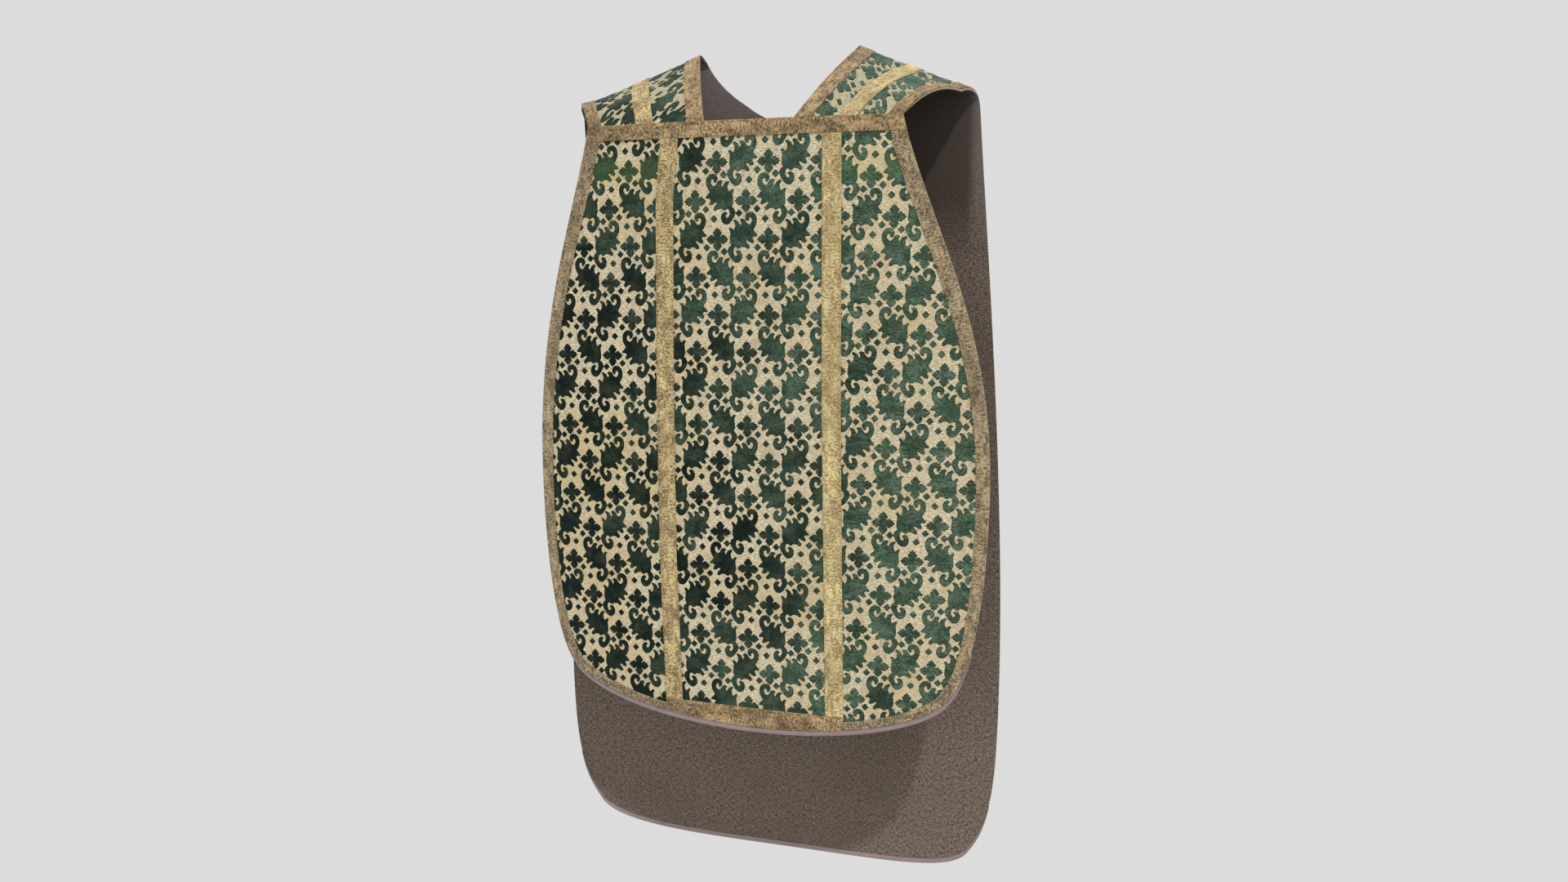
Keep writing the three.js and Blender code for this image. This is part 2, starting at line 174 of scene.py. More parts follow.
COLUMN_WIDTH = 24
COLUMN_LINE = {
    "left": [(0, 102), (94, 112), (330, 115.5), (560, 115), (FRONT_LENGTH, 108)],
    "right": [(0, 105), (350, 107), (FRONT_LENGTH, 114)],
}
BACK_COLUMN_HALF = 112
SPREAD_HALF = 143
SPREAD_LEVEL = -106
SPREAD_DROP = 190
TOP_BAND_WIDTH = 19
HEM_BAND_WIDTH = 27
SIDE_WIDTH = {"front": (20, 10), "back": (20, 20)}
NECK_BAND_WIDTH = 22
STRAP_EDGE_WIDTH = 18
BINDING_WIDTH = 7
BINDING_RISE = 130
GAP = 0.3

FRONT_HEM = SEAM_LEVEL - FRONT_LENGTH
BACK_HEM = SEAM_LEVEL - BACK_LENGTH

# How deep each layer's outer and inner faces lie below the garment's outer face.
DEPTH = {
    "galloon": (0.05, 0.95),
    "velvet": (1.65, 2.7),
    "interlining": (3.0, 3.8),
    "lining": (4.1, 4.9),
    "binding": (1.35, 5.2),
}

# The velvet's pattern: its repeat across and up, the leaf's drawing scaled to fill it, and the pile's height.
REPEAT = (67.3, 93.9)
LEAF_GROWTH = 1.01
PILE_HEIGHT = 0.6

TAPE_THICKNESS = 0.55
STITCH_PITCH = 5.2
STITCH_LENGTH = 2.6

# Stations across a strap, from its neck edge to its shoulder edge, and along it, from the seam to the back.
ALL_SHARES = np.linspace(0, 1, 17)
HALF_SHARES = {"inner": np.linspace(0, 0.5, 9), "outer": np.linspace(0.5, 1, 9)}
STRAP_ALONG = np.concatenate([np.linspace(0, 1, 13), np.linspace(1, 2, 13)[1:]])


def mix(a, b, share):
    return a + (b - a) * share


def smooth(share):
    share = np.clip(share, 0, 1)
    return share * share * (3 - 2 * share)


# ---------------------------------------------------------------- surfaces

def front_curve(x):
    return FRONT_FACE + FRONT_CURL * (x / FRONT_HALF) ** 2


def back_curve(x):
    return BACK_FACE - BACK_CURL * (x / BACK_HALF) ** 2


def crease(x, z, level, slope, half, depth, wide):
    """A soft crease across the cloth about one level, that dies out to its sides."""
    off = (z - level - slope * x) / half
    return depth * np.exp(-off * off) * np.exp(-(x / wide) ** 4)


def front_hang(x, z):
    """How far the front panel strays from its even curve: faint folding creases and slow waves."""
    fade = smooth((SEAM_LEVEL - 25 - z) / 120)
    waves = 1.3 * np.sin(x / 61 + z / 410 + 0.6) * np.sin(z / 260 + 0.4)
    folds = (
        crease(x, z, -166, 0.02, 7, 0.8, 330)
        + crease(x, z, -322, -0.03, 6, 0.9, 330)
        + crease(x, z, -596, 0.015, 7, 1.0, 330)
        - crease(x, z, -583, 0.015, 8, 0.7, 330)
    )
    return fade * (waves + folds)


def back_hang(x, z):
    """How far the back panel strays from its even curve."""
    fade = smooth((-90 - z) / 200)
    waves = 2.6 * np.sin(x / 73 + z / 350) * np.sin(z / 300 + 1.1)
    folds = (
        crease(x - 190, z, -1012, 0.45, 9, 2.2, 110)
        - crease(x - 215, z, -975, 0.5, 12, 1.6, 90)
        + crease(x - 180, z, -215, -0.25, 8, 1.6, 120)
        + crease(x + 40, z, -700, 0.02, 8, 0.8, 300)
    )
    return fade * (waves + folds)


def fold_end(side):
    """The ends of the line across the back where the strap's fold ends: neck, then shoulder."""
    sign = SIGN[side]
    neck = (sign * NECK_HALF_BEHIND, NECK_APEX - FOLD_SETBACK)
    shoulder = (sign * SHOULDER_HALF_BEHIND[side], SHOULDER_APEX - FOLD_SETBACK)
    return neck, shoulder


def unit(vectors):
    return vectors / np.linalg.norm(vectors, axis=-1, keepdims=True)


def stack(*parts):
    return np.stack(np.broadcast_arrays(*[np.asarray(part, float) for part in parts]), axis=-1)


def strap_face(side, across, along):
    """The strap's outer face: across 0 at the neck to 1 at the shoulder; along 0 at the seam to 2 at the
    end of the fold, and past 2 straight down the back."""
    sign = SIGN[side]
    across, along = np.broadcast_arrays(np.asarray(across, float), np.asarray(along, float))
    seam_x = sign * mix(NECK_HALF_AT_SEAM, CHEST_HALF[side], across)
    seam = stack(seam_x, front_curve(seam_x), SEAM_LEVEL)
    neck, shoulder = fold_end(side)
    end_x = mix(neck[0], shoulder[0], across)
    end = stack(end_x, back_curve(end_x), mix(neck[1], shoulder[1], across))
    ridge_x = sign * mix(NECK_HALF_AT_RIDGE, SHOULDER_HALF[side], across)
    ridge = stack(ridge_x, back_curve(end_x), mix(NECK_APEX, SHOULDER_APEX, across))
    start = ridge + unit(seam - ridge) * FOLD_SETBACK
    rise = start - seam
    outward = unit(stack(0 * seam_x, -rise[..., 2], rise[..., 1]))
    up = np.clip(along, 0, 1)[..., None]
    bulge = mix(STRAP_BULGE["neck"], STRAP_BULGE["shoulder"], across)[..., None] * 4 * up * (1 - up)
    climb = seam + rise * up + outward * bulge
    over = np.clip(along - 1, 0, 1)[..., None]
    fold = (1 - over) ** 2 * start + 2 * over * (1 - over) * ridge + over**2 * end
    down = end + stack(0 * along, 0 * along, (2 - along) * FOLD_SETBACK)
    along = along[..., None]
    return np.where(along <= 1, climb, np.where(along <= 2, fold, down))


def strap_place(side, across, along, depth):
    """A point in the strap's cloth. Near the seam the layers turn to lie as the front's layers do."""
    step = 0.01
    ahead = strap_face(side, across, np.asarray(along) + step)
    behind = strap_face(side, across, np.maximum(0, np.asarray(along) - step))
    course = ahead - behind
    outward = unit(stack(0 * course[..., 0], -course[..., 2], course[..., 1]))
    turn = smooth(np.asarray(along, float) / 0.16)[..., None]
    outward = unit(mix(stack(0 * course[..., 0], -1, 0), outward, turn))
    return strap_face(side, across, along) - outward * np.asarray(depth)[..., None]


def place(kind, a, b, depth):
    """The point at surface coordinates (a, b), at a depth below the outer face, in millimetres."""
    a, b, depth = np.broadcast_arrays(*[np.asarray(part, float) for part in (a, b, depth)])
    if kind == "front":
        return stack(a, front_curve(a) + front_hang(a, b) + depth, b)
    if kind == "back":
        return stack(a, back_curve(a) + back_hang(a, b) - depth, b)
    return strap_place(kind, a, b, depth)


# ---------------------------------------------------------------- outlines

def bezier(points, steps):
    """Points and unit tangents along one cubic curve."""
    t = np.linspace(0, 1, steps + 1)[:, None]
    p = np.asarray(points, float)
    at = (1 - t) ** 3 * p[0] + 3 * t * (1 - t) ** 2 * p[1] + 3 * t**2 * (1 - t) * p[2] + t**3 * p[3]
    going = (1 - t) ** 2 * (p[1] - p[0]) + 2 * t * (1 - t) * (p[2] - p[1]) + t**2 * (p[3] - p[2])
    return at, unit(going)


def edge_points(curves, side, inset=lambda share: 0 * share, steps=24):
    """Points along an edge, each moved in from it by inset(share of the way)."""
    points = []
    for index, curve in enumerate(curves):
        at, tangent = bezier(curve, steps)
        share = (index + np.linspace(0, 1, steps + 1)) / len(curves)
        inward = stack(tangent[:, 1], -tangent[:, 0]) * SIGN[side]
        moved = at + inward * inset(share)[:, None]
        points.append(moved if index == 0 else moved[1:])
    return np.concatenate(points)


def front_edge(side, lift=0.0):
    sign = SIGN[side]
    widest = SEAM_LEVEL - FRONT_WIDEST_DROP
    hem = FRONT_HEM + lift
    chest = CHEST_HALF[side]
    start = (sign * chest, SEAM_LEVEL)
    swell = (sign * (chest + 31), SEAM_LEVEL - 0.28 * FRONT_WIDEST_DROP)
    bout = (sign * FRONT_HALF, widest + 0.46 * FRONT_WIDEST_DROP)
    side_1 = (sign * FRONT_HALF, widest)
    side_2 = (sign * FRONT_HALF, widest - 112)
    turn = (sign * (FRONT_HALF - 10), hem + 104)
    corner = (sign * (FRONT_HALF - 41), hem + 66)
    below = (sign * (FRONT_HALF - 63), hem + 28)
    return [
        (start, swell, bout, side_1),
        (side_1, side_2, turn, corner),
        (corner, below, (sign * 130, hem), (0, hem)),
    ]


def back_edge(side, lift=0.0):
    sign = SIGN[side]
    widest = SEAM_LEVEL - BACK_WIDEST_DROP
    hem = BACK_HEM + lift
    start = fold_end(side)[1]
    under = (sign * mix(abs(start[0]), BACK_HALF, 0.3), start[1] - 175)
    bout = (sign * BACK_HALF, widest + 270)
    side_1 = (sign * BACK_HALF, widest)
    side_2 = (sign * BACK_HALF, widest - 130)
    turn = (sign * (BACK_HALF - 4), hem + 98)
    corner = (sign * (BACK_HALF - 35), hem + 53)
    below = (sign * (BACK_HALF - 53), hem + 14)
    return [
        (start, under, bout, side_1),
        (side_1, side_2, turn, corner),
        (corner, below, (sign * 160, hem), (0, hem)),
    ]


def neck_edge(side):
    sign = SIGN[side]
    start = fold_end(side)[0]
    rise = start[1] - NECK_DIP
    high = (sign * 0.82 * NECK_HALF_BEHIND, NECK_DIP + 0.62 * rise)
    low = (sign * 0.4 * NECK_HALF_BEHIND, NECK_DIP + 0.18 * rise)
    return [(start, high, low, (0, NECK_DIP))]


EDGE = {"front": front_edge, "back": back_edge}
HEM = {"front": FRONT_HEM, "back": BACK_HEM}


def column_at(panel, side, z):
    """Distance of a column band's centre line from the panel's centre line."""
    z = np.asarray(z, float)
    if panel == "front":
        drops, halves = zip(*COLUMN_LINE[side])
        return np.interp(SEAM_LEVEL - z, drops, halves)
    neck, shoulder = fold_end(side)
    middle = abs(mix(neck[0], shoulder[0], 0.5))
    middle_level = mix(neck[1], shoulder[1], 0.5)
    levels = [SPREAD_LEVEL - SPREAD_DROP, SPREAD_LEVEL, middle_level]
    return np.interp(z, levels, [BACK_COLUMN_HALF, SPREAD_HALF, middle])


# ---------------------------------------------------------------- meshes

def inside_polygon(points, polygon):
    x, y = points[:, 0][:, None], points[:, 1][:, None]
    ax, ay = polygon[:, 0], polygon[:, 1]
    bx, by = np.roll(ax, -1), np.roll(ay, -1)
    with np.errstate(divide="ignore", invalid="ignore"):
        crosses = ((ay > y) != (by > y)) & (x < (bx - ax) * (y - ay) / (by - ay) + ax)
    return crosses.sum(axis=1) % 2 == 1


def distance_to_polygon(points, polygon):
    a = polygon
    span = np.roll(polygon, -1, axis=0) - a
    rel = points[:, None, :] - a[None]
    t = np.clip((rel * span).sum(-1) / np.maximum((span * span).sum(-1), 1e-9), 0, 1)
    return np.sqrt(((rel - t[..., None] * span) ** 2).sum(-1)).min(axis=1)


def fill_outline(outline, spacing=9.0):
    """A fine even triangulation of a flat outline: points, and triangles turned anticlockwise."""
    keep = [point for i, point in enumerate(outline) if np.linalg.norm(point - outline[i - 1]) > 0.05]
    outline = np.array(keep)
    low, high = outline.min(axis=0), outline.max(axis=0)
    xs = np.arange(math.floor(low[0] / spacing), math.ceil(high[0] / spacing) + 1) * spacing
    ys = np.arange(math.floor(low[1] / spacing), math.ceil(high[1] / spacing) + 1) * spacing
    grid = np.stack(np.meshgrid(xs, ys), axis=-1).reshape(-1, 2)
    grid = grid[inside_polygon(grid, outline)]
    grid = grid[distance_to_polygon(grid, outline) > 0.4 * spacing]
    count = len(outline)
    edges = [(i, (i + 1) % count) for i in range(count)]
    points = [Vector(p) for p in np.concatenate([outline, grid])]
    verts, _, faces, *_ = delaunay_2d_cdt(points, edges, [], 1, 1e-5)
    verts = np.array([tuple(v) for v in verts])
    turned = []
    for face in faces:
        a, b, c = (verts[i] for i in face)
        area = (b[0] - a[0]) * (c[1] - a[1]) - (b[1] - a[1]) * (c[0] - a[0])
        turned.append(tuple(face) if area > 0 else tuple(reversed(face)))
    return verts, turned


class Cloth:
    """One face of a layer, built of patches that are joined where their points coincide. Each point keeps
    its surface coordinates and its place on the flat cut cloth."""

    def __init__(self):
        self.kinds, self.a, self.b, self.flat, self.faces = [], [], [], [], []

    def add(self, kind, a, b, flat, faces):
        start = len(self.a)
        self.kinds += [kind] * len(a)
        self.a += list(a)
        self.b += list(b)
        self.flat += [tuple(f) for f in flat]
        self.faces += [tuple(start + i for i in face) for face in faces]

    def add_panel(self, kind, outline):
        points, faces = fill_outline(outline)
        turn = 1 if kind == "front" else -1
        flat = points * (turn, 1)
        if turn < 0:
            faces = [tuple(reversed(face)) for face in faces]
        self.add(kind, points[:, 0], points[:, 1], flat, faces)

    def add_strap(self, side, across, along):
        """across and along are lists of stations; the last of along is 2, where the panel takes over."""
        grid_across, grid_along = np.meshgrid(across, along)
        points = strap_face(side, grid_across, grid_along)
        steps = np.hypot(np.diff(points[..., 1], axis=0), np.diff(points[..., 2], axis=0))
        climbed = np.concatenate([np.zeros((1, len(across))), np.cumsum(steps[::-1], axis=0)])[::-1]
        level = points[-1, :, 2] + climbed
        flat = np.stack([-points[..., 0], level], axis=-1).reshape(-1, 2)
        faces = []
        columns = len(across)
        for row in range(len(along) - 1):
            for column in range(columns - 1):
                corner = row * columns + column
                quad = (corner, corner + 1, corner + 1 + columns, corner + columns)
                faces.append(quad if side == "right" else tuple(reversed(quad)))
        self.add(side, grid_across.ravel(), grid_along.ravel(), flat, faces)

    def positions(self, depth):
        out = np.zeros((len(self.a), 3))
        kinds = np.array(self.kinds)
        a, b = np.array(self.a), np.array(self.b)
        for kind in set(self.kinds):
            chosen = kinds == kind
            out[chosen] = place(kind, a[chosen], b[chosen], depth)
        return out

    def join(self):
        """Welds the points of neighbouring patches that lie in the same place."""
        places = np.round(self.positions(0.0) / 0.02).astype(int)
        _, first, index = np.unique(places, axis=0, return_index=True, return_inverse=True)
        index = index.ravel()
        self.faces = [tuple(int(index[i]) for i in face) for face in self.faces]
        self.faces = [face for face in self.faces if len(set(face)) == len(face)]
        self.kinds = [self.kinds[i] for i in first]
        self.a = [self.a[i] for i in first]
        self.b = [self.b[i] for i in first]
        self.flat = [self.flat[i] for i in first]
        return self


def link(name, mesh):
    piece = bpy.data.objects.new(name, mesh)
    scene.collection.objects.link(piece)
    return piece


def face_outwards(mesh):
    work = bmesh.new()
    work.from_mesh(mesh)
    bmesh.ops.recalc_face_normals(work, faces=work.faces)
    work.to_mesh(mesh)
    work.free()


def set_uv(mesh, flat):
    """Gives each corner its point's place on the flat cloth, in metres."""
    layer = mesh.uv_layers.new(name="cloth")
    corners = np.zeros(len(mesh.loops), int)
    mesh.loops.foreach_get("vertex_index", corners)
    layer.data.foreach_set("uv", (np.asarray(flat, float)[corners] * MM).astype(np.float32).ravel())


def finish_shape(mesh, angle=35.0):
    mesh.shade_smooth()
    mesh.set_sharp_from_angle(angle=math.radians(angle))
    mesh.update()


def run_length(points):
    """How far along a line each of its points lies."""
    return np.concatenate([[0], np.cumsum(np.linalg.norm(np.diff(points, axis=0), axis=1))])


def polar(radii, degrees):
    """Points about a centre, from their radii and angles."""
    turns = [math.radians(turn) for turn in degrees]
    return np.array([(radius * math.cos(t), radius * math.sin(t)) for radius, t in zip(radii, turns)])


def rim_edges(faces):
    """The directed edges that only one face uses."""
    edges = {}
    for face in faces:
        for i, v in enumerate(face):
            edges[(v, face[(i + 1) % len(face)])] = True
    return [edge for edge in edges if (edge[1], edge[0]) not in edges]


def flat_size(flat, faces):
    """Width, length and area of the flat cut cloth, in metres."""
    flat = np.asarray(flat, float) * MM
    area = 0.0
    for face in faces:
        x, y = flat[list(face), 0], flat[list(face), 1]
        area += abs(np.dot(x, np.roll(y, -1)) - np.dot(y, np.roll(x, -1))) / 2
    spread = flat.max(axis=0) - flat.min(axis=0)
    return float(spread[0]), float(spread[1]), float(area)


def cloth_piece(name, layer, cloth):
    """The closed piece between a layer's two faces, and its flat size."""
    outer_depth, inner_depth = DEPTH[layer]
    count = len(cloth.a)
    points = np.concatenate([cloth.positions(outer_depth), cloth.positions(inner_depth)]) * MM
    faces = list(cloth.faces)
    faces += [tuple(count + i for i in reversed(face)) for face in cloth.faces]
    faces += [(b, a, count + a, count + b) for a, b in rim_edges(cloth.faces)]
    mesh = bpy.data.meshes.new(name)
    mesh.from_pydata(points.tolist(), [], faces)
    set_uv(mesh, list(cloth.flat) * 2)
    face_outwards(mesh)
    finish_shape(mesh)
    return link(name, mesh), flat_size(cloth.flat, cloth.faces)


# ---------------------------------------------------------------- bands

class Band:
    """A ribbon laid down row by row: each row has one end at a and the other at b, on one surface."""

    def __init__(self):
        self.rows = []

    def add(self, kind, ends_a, ends_b):
        for a, b in zip(ends_a, ends_b):
            self.rows.append((kind, tuple(a), tuple(b)))
        return self

    def grid(self, shares, depth):
        """The band's points: rows by columns by 3."""
        out = []
        i = 0
        while i < len(self.rows):
            kind = self.rows[i][0]
            j = i
            while j < len(self.rows) and self.rows[j][0] == kind:
                j += 1
            a = np.array([row[1] for row in self.rows[i:j]])[:, None, :]
            b = np.array([row[2] for row in self.rows[i:j]])[:, None, :]
            at = a + (b - a) * np.asarray(shares)[None, :, None]
            out.append(place(kind, at[..., 0], at[..., 1], depth[i:j]))
            i = j
        return np.concatenate(out)

    def respace(self, pitch):
        """Rows a pitch apart along the band's middle, none closer than that to its neighbour."""
        middle = self.grid([0.5], np.zeros((len(self.rows), 1)))[:, 0]
        gaps = np.linalg.norm(np.diff(middle, axis=0), axis=1)
        fine = Band()
        for i in range(len(self.rows) - 1):
            kind, a, b = self.rows[i]
            next_kind, next_a, next_b = self.rows[i + 1]
            fine.rows.append(self.rows[i])
            if kind != next_kind or gaps[i] < 1e-6:
                continue
            parts = max(1, round(gaps[i] / pitch))
            for k in range(1, parts):
                share = k / parts
                fine.rows.append((
                    kind,
                    tuple(np.array(a) + (np.array(next_a) - np.array(a)) * share),
                    tuple(np.array(b) + (np.array(next_b) - np.array(b)) * share),
                ))
        fine.rows.append(self.rows[-1])
        middle = fine.grid([0.5], np.zeros((len(fine.rows), 1)))[:, 0]
        kept = [0]
        for i in range(1, len(fine.rows)):
            if np.linalg.norm(middle[i] - middle[kept[-1]]) > 0.35 * pitch:
                kept.append(i)
        fine.rows = [fine.rows[i] for i in kept]
        return fine


def galloon_relief(along, across, width, style, draw):
    """Height of the weave above the band's ground, in millimetres."""
    lattice = np.cos(math.pi * (along / 5.2 + across / 6.0)) * np.cos(math.pi * (along / 5.2 - across / 6.0))
    ribs = 0.5 + 0.5 * np.cos(2 * math.pi * along / 3.3)
    relief = {"lattice": 0.2 * lattice, "ribbed": 0.16 * ribs + 0.06 * lattice}[style]
    edge = np.minimum(across, width - across)
    selvedge = smooth((3.0 - edge) / 1.5)
    relief = mix(relief, 0.12 + 0.1 * ribs, selvedge)
    relief = relief + draw.uniform(-0.1, 0.1, along.shape)
    return relief * smooth(edge / 0.8)


def band_piece(name, band, style="lattice", layer="galloon", bead=0.0, laps=(), pitch=1.7, seed=1):
    """A woven band with relief on its outer face, and the two lines along which it is stitched down."""
    band = band.respace(pitch)
    outer, inner = DEPTH[layer]
    rows = len(band.rows)
    flat_rows = np.zeros((rows, 1))
    ends = band.grid([0.0, 1.0], np.zeros((rows, 2)))
    width = np.linalg.norm(ends[:, 1] - ends[:, 0], axis=1)
    middle = band.grid([0.5], flat_rows)[:, 0]
    along = run_length(middle)
    columns = max(5, round(float(np.median(width)) / 1.6) + 1)
    shares = np.linspace(0, 1, columns)
    across = width[:, None] * shares[None]
    draw = np.random.default_rng(seed)
    far = np.repeat(along[:, None], columns, axis=1)
    relief = galloon_relief(far, across, width[:, None], style, draw)
    relief += bead * np.exp(-((across - 1.6) / 1.1) ** 2)
    for where, slant in laps:
        off = far - where - slant * across
        relief += 0.45 * np.exp(-(off / 1.3) ** 2) + 0.12 * smooth(off / 2)
    rounding = 0.3 * (1 - smooth(np.minimum(across, width[:, None] - across) / 1.4))
    face = band.grid(shares, outer - relief + rounding)
    under = band.grid([0.0, 1.0], np.full((rows, 2), inner))
    points = np.concatenate([face.reshape(-1, 3), under.reshape(-1, 3)]) * MM
    base = rows * columns
    faces = []
    for row in range(rows - 1):
        here, ahead = row * columns, (row + 1) * columns
        faces += [(here + c, ahead + c, ahead + c + 1, here + c + 1) for c in range(columns - 1)]
        low, next_low = base + 2 * row, base + 2 * row + 2
        faces.append((low, low + 1, next_low + 1, next_low))
        faces.append((here, low, next_low, ahead))
        faces.append((here + columns - 1, ahead + columns - 1, next_low + 1, low + 1))
    last = (rows - 1) * columns
    faces.append((*range(columns), base + 1, base))
    faces.append((*reversed(range(last, last + columns)), base + 2 * rows - 2, base + 2 * rows - 1))
    mesh = bpy.data.meshes.new(name)
    mesh.from_pydata(points.tolist(), [], faces)
    flat = np.stack([across, far], axis=-1).reshape(-1, 2)
    flat_under = np.stack([np.stack([0 * width, width], axis=-1), far[:, :2]], axis=-1).reshape(-1, 2)
    set_uv(mesh, np.concatenate([flat, flat_under]))
    face_outwards(mesh)
    finish_shape(mesh, 60.0)
    piece = link(name, mesh)
    inset = 1.5 / np.median(width)
    stitch_lines = band.grid([inset, 1 - inset], np.full((rows, 2), outer - 0.2)) * MM
    size = (float(np.median(width)) * MM, float(along[-1]) * MM, None)
    return piece, size, [stitch_lines[:, 0], stitch_lines[:, 1]]


def folded_tape(name, band, pitch=4.0):
    """A tape folded round an edge: one leg on the outside of the cloth, one on its lining."""
    band = band.respace(pitch)
    outer, inner = DEPTH["binding"]
    centre = (outer + inner) / 2
    outside = [(0.0, outer), (0.5, outer - 0.1), (0.85, outer), (1.02, outer + 0.9), (1.06, centre)]
    outside += [(share, outer + inner - depth) for share, depth in outside[-2::-1]]
    inside = [
        (share if share < 0.9 else share - 0.09, depth + math.copysign(TAPE_THICKNESS, 3 - depth))
        for share, depth in outside
    ]
    inside[4] = (0.97, centre)
    loop = outside + inside[::-1]
    rows, count = len(band.rows), len(loop)
    shares = [share for share, _ in loop]
    depths = np.repeat(np.array([[depth for _, depth in loop]]), rows, axis=0)
    points = band.grid(shares, depths)
    faces = []
    for row in range(rows - 1):
        for i in range(count):
            j = (i + 1) % count
            here, ahead = row * count, (row + 1) * count
            faces.append((here + i, here + j, ahead + j, ahead + i))
    last = (rows - 1) * count
    half = count // 2
    for k in range(half - 1):
        faces.append((k, k + 1, count - 2 - k, count - 1 - k))
        faces.append((last + k + 1, last + k, last + count - 1 - k, last + count - 2 - k))
    mesh = bpy.data.meshes.new(name)
    mesh.from_pydata((points.reshape(-1, 3) * MM).tolist(), [], faces)
    middle = points[:, 0]
    along = run_length(middle)
    widest = points[rows // 2]
    girth = run_length(widest)
    around = np.where(np.arange(count) < half, girth, girth[half] - (girth - girth[half]))
    set_uv(mesh, np.stack(np.broadcast_arrays(around[None], along[:, None]), axis=-1).reshape(-1, 2))
    face_outwards(mesh)
    finish_shape(mesh, 60.0)
    return link(name, mesh), (float(girth[half - 1]) * MM, float(along[-1]) * MM)


def side_band(panel, side, top):
    """Rows of the galloon along one side edge, from a level down to the column's foot."""
    widths = SIDE_WIDTH[panel]
    outer = edge_points(EDGE[panel](side, BINDING_WIDTH + GAP), side)
    inner = edge_points(EDGE[panel](side, BINDING_WIDTH), side, lambda share: mix(*widths, share))
    limit = column_at(panel, side, HEM[panel] + 30) + COLUMN_WIDTH / 2 + GAP
    sign = SIGN[side]
    rows_a, rows_b = [], []
    for a, b in zip(outer, inner):
        if a[1] > top:
            continue
        if sign * a[0] < limit + 1:
            break
        rows_a.append(a)
        rows_b.append((sign * max(sign * b[0], limit), b[1]))
    start = rows_a[0][1]
    if panel == "front" and start < top:
        share = (top - start) / (outer[0][1] - start)
        rows_a.insert(0, (mix(rows_a[0][0], outer[0][0], share), top))
        rows_b.insert(0, (mix(rows_b[0][0], inner[0][0], share), top))
    foot = np.array([sign * limit, np.interp(limit, *by_half_width(outer, side))])
    foot_b = np.array([sign * limit, np.interp(limit, *by_half_width(inner, side))])
    rows_a.append(foot)
    rows_b.append(foot_b)
    return rows_a, rows_b


def by_half_width(points, side):
    """The lower part of an edge as (half widths rising, levels), for interpolation."""
    low = points[len(points) * 2 // 3:]
    order = np.argsort(SIGN[side] * low[:, 0])
    return SIGN[side] * low[order, 0], low[order, 1]


def share_across(line, width):
    """A line's share of a strap's width, from the neck edge. The line is a distance in millimetres from the
    neck edge, or from the shoulder edge if negative, or from the middle if in brackets; None is the
    shoulder edge itself."""
    if line is None:
        return 1.0
    if isinstance(line, tuple):
        return 0.5 + line[0] / width
    return line / width if line >= 0 else 1 + line / width


def strap_rows(side, from_line, to_line):
    """Rows of a band over one strap, from the seam to the back, between two lines along it."""
    ends_a, ends_b = [], []
    for along in STRAP_ALONG:
        left, right = strap_face(side, [0.0, 1.0], along)
        width = float(np.linalg.norm(right - left))
        ends_a.append((share_across(from_line, width), along))
        ends_b.append((share_across(to_line, width), along))
    return ends_a, ends_b


def fold_line_point(side, across):
    neck, shoulder = fold_end(side)
    return np.array([mix(neck[0], shoulder[0], across), mix(neck[1], shoulder[1], across)])


# ---------------------------------------------------------------- velvet pile

def leaf_outline():
    """The leaf, about its body's centre, anticlockwise: the spike at the right, two fingers, the curl at the
    upper left, the lobes down the left and the spiral tail."""
    points = [
        (17.0, 1.0), (16.4, 6.2), (18.6, 10.8), (16.2, 11.7), (12.2, 8.3), (10.3, 12.2), (10.2, 16.6),
        (12.9, 20.2), (10.8, 21.4), (6.4, 19.2), (3.4, 13.9), (1.9, 17.6), (4.0, 20.7), (1.8, 22.6),
        (-2.2, 21.4), (-5.4, 16.0), (-8.8, 15.2), (-11.4, 18.4), (-11.6, 21.8), (-9.8, 24.2), (-7.4, 22.8),
        (-7.6, 20.0), (-5.4, 19.4), (-3.0, 22.4), (-2.6, 25.6), (-4.6, 28.8), (-8.2, 30.4), (-12.6, 29.8),
        (-16.2, 26.6), (-17.8, 21.8), (-17.4, 16.2), (-15.0, 11.2), (-13.0, 8.6), (-15.4, 5.6), (-18.3, 2.8),
        (-18.0, 0.6), (-14.0, 1.0), (-11.8, -1.0), (-14.1, -5.2), (-12.6, -7.6), (-8.6, -6.2), (-6.4, -4.2),
        (-3.6, -4.8), (-5.6, -7.8), (-8.2, -10.6), (-8.2, -13.6), (-5.6, -14.4), (-2.2, -12.0), (2.4, -11.8),
        (4.6, -14.0), (7.4, -13.6), (9.6, -11.8), (12.2, -13.2), (13.0, -18.4), (11.2, -22.6), (8.8, -23.2),
        (7.2, -20.6), (9.8, -17.6), (7.2, -15.6), (3.4, -17.2), (1.4, -21.4), (2.0, -26.6), (5.4, -30.6),
        (10.2, -31.2), (14.4, -28.0), (18.2, -22.4), (20.6, -16.8), (18.6, -12.2), (15.6, -9.8), (17.4, -5.2),
    ]
    return np.array(points) * LEAF_GROWTH


def flower_outline():
    """The flower: four cusped petals, each given by its corners' angles and radii."""
    petal = [(-38, 8.8), (-30, 11.1), (-22, 10.3), (-15, 12.8), (-7, 12.8), (0, 15), (7, 12.8), (15, 12.8)]
    petal += [(22, 10.3), (30, 11.1), (38, 8.8), (45, 4.6)]
    corners = [(degrees + 90 * quarter, radius) for quarter in range(4) for degrees, radius in petal]
    return polar([radius for _, radius in corners], [degrees for degrees, _ in corners])


def dot_outline():
    """The small lozenge."""
    return polar([4.5, 3.3] * 4, range(0, 360, 45))


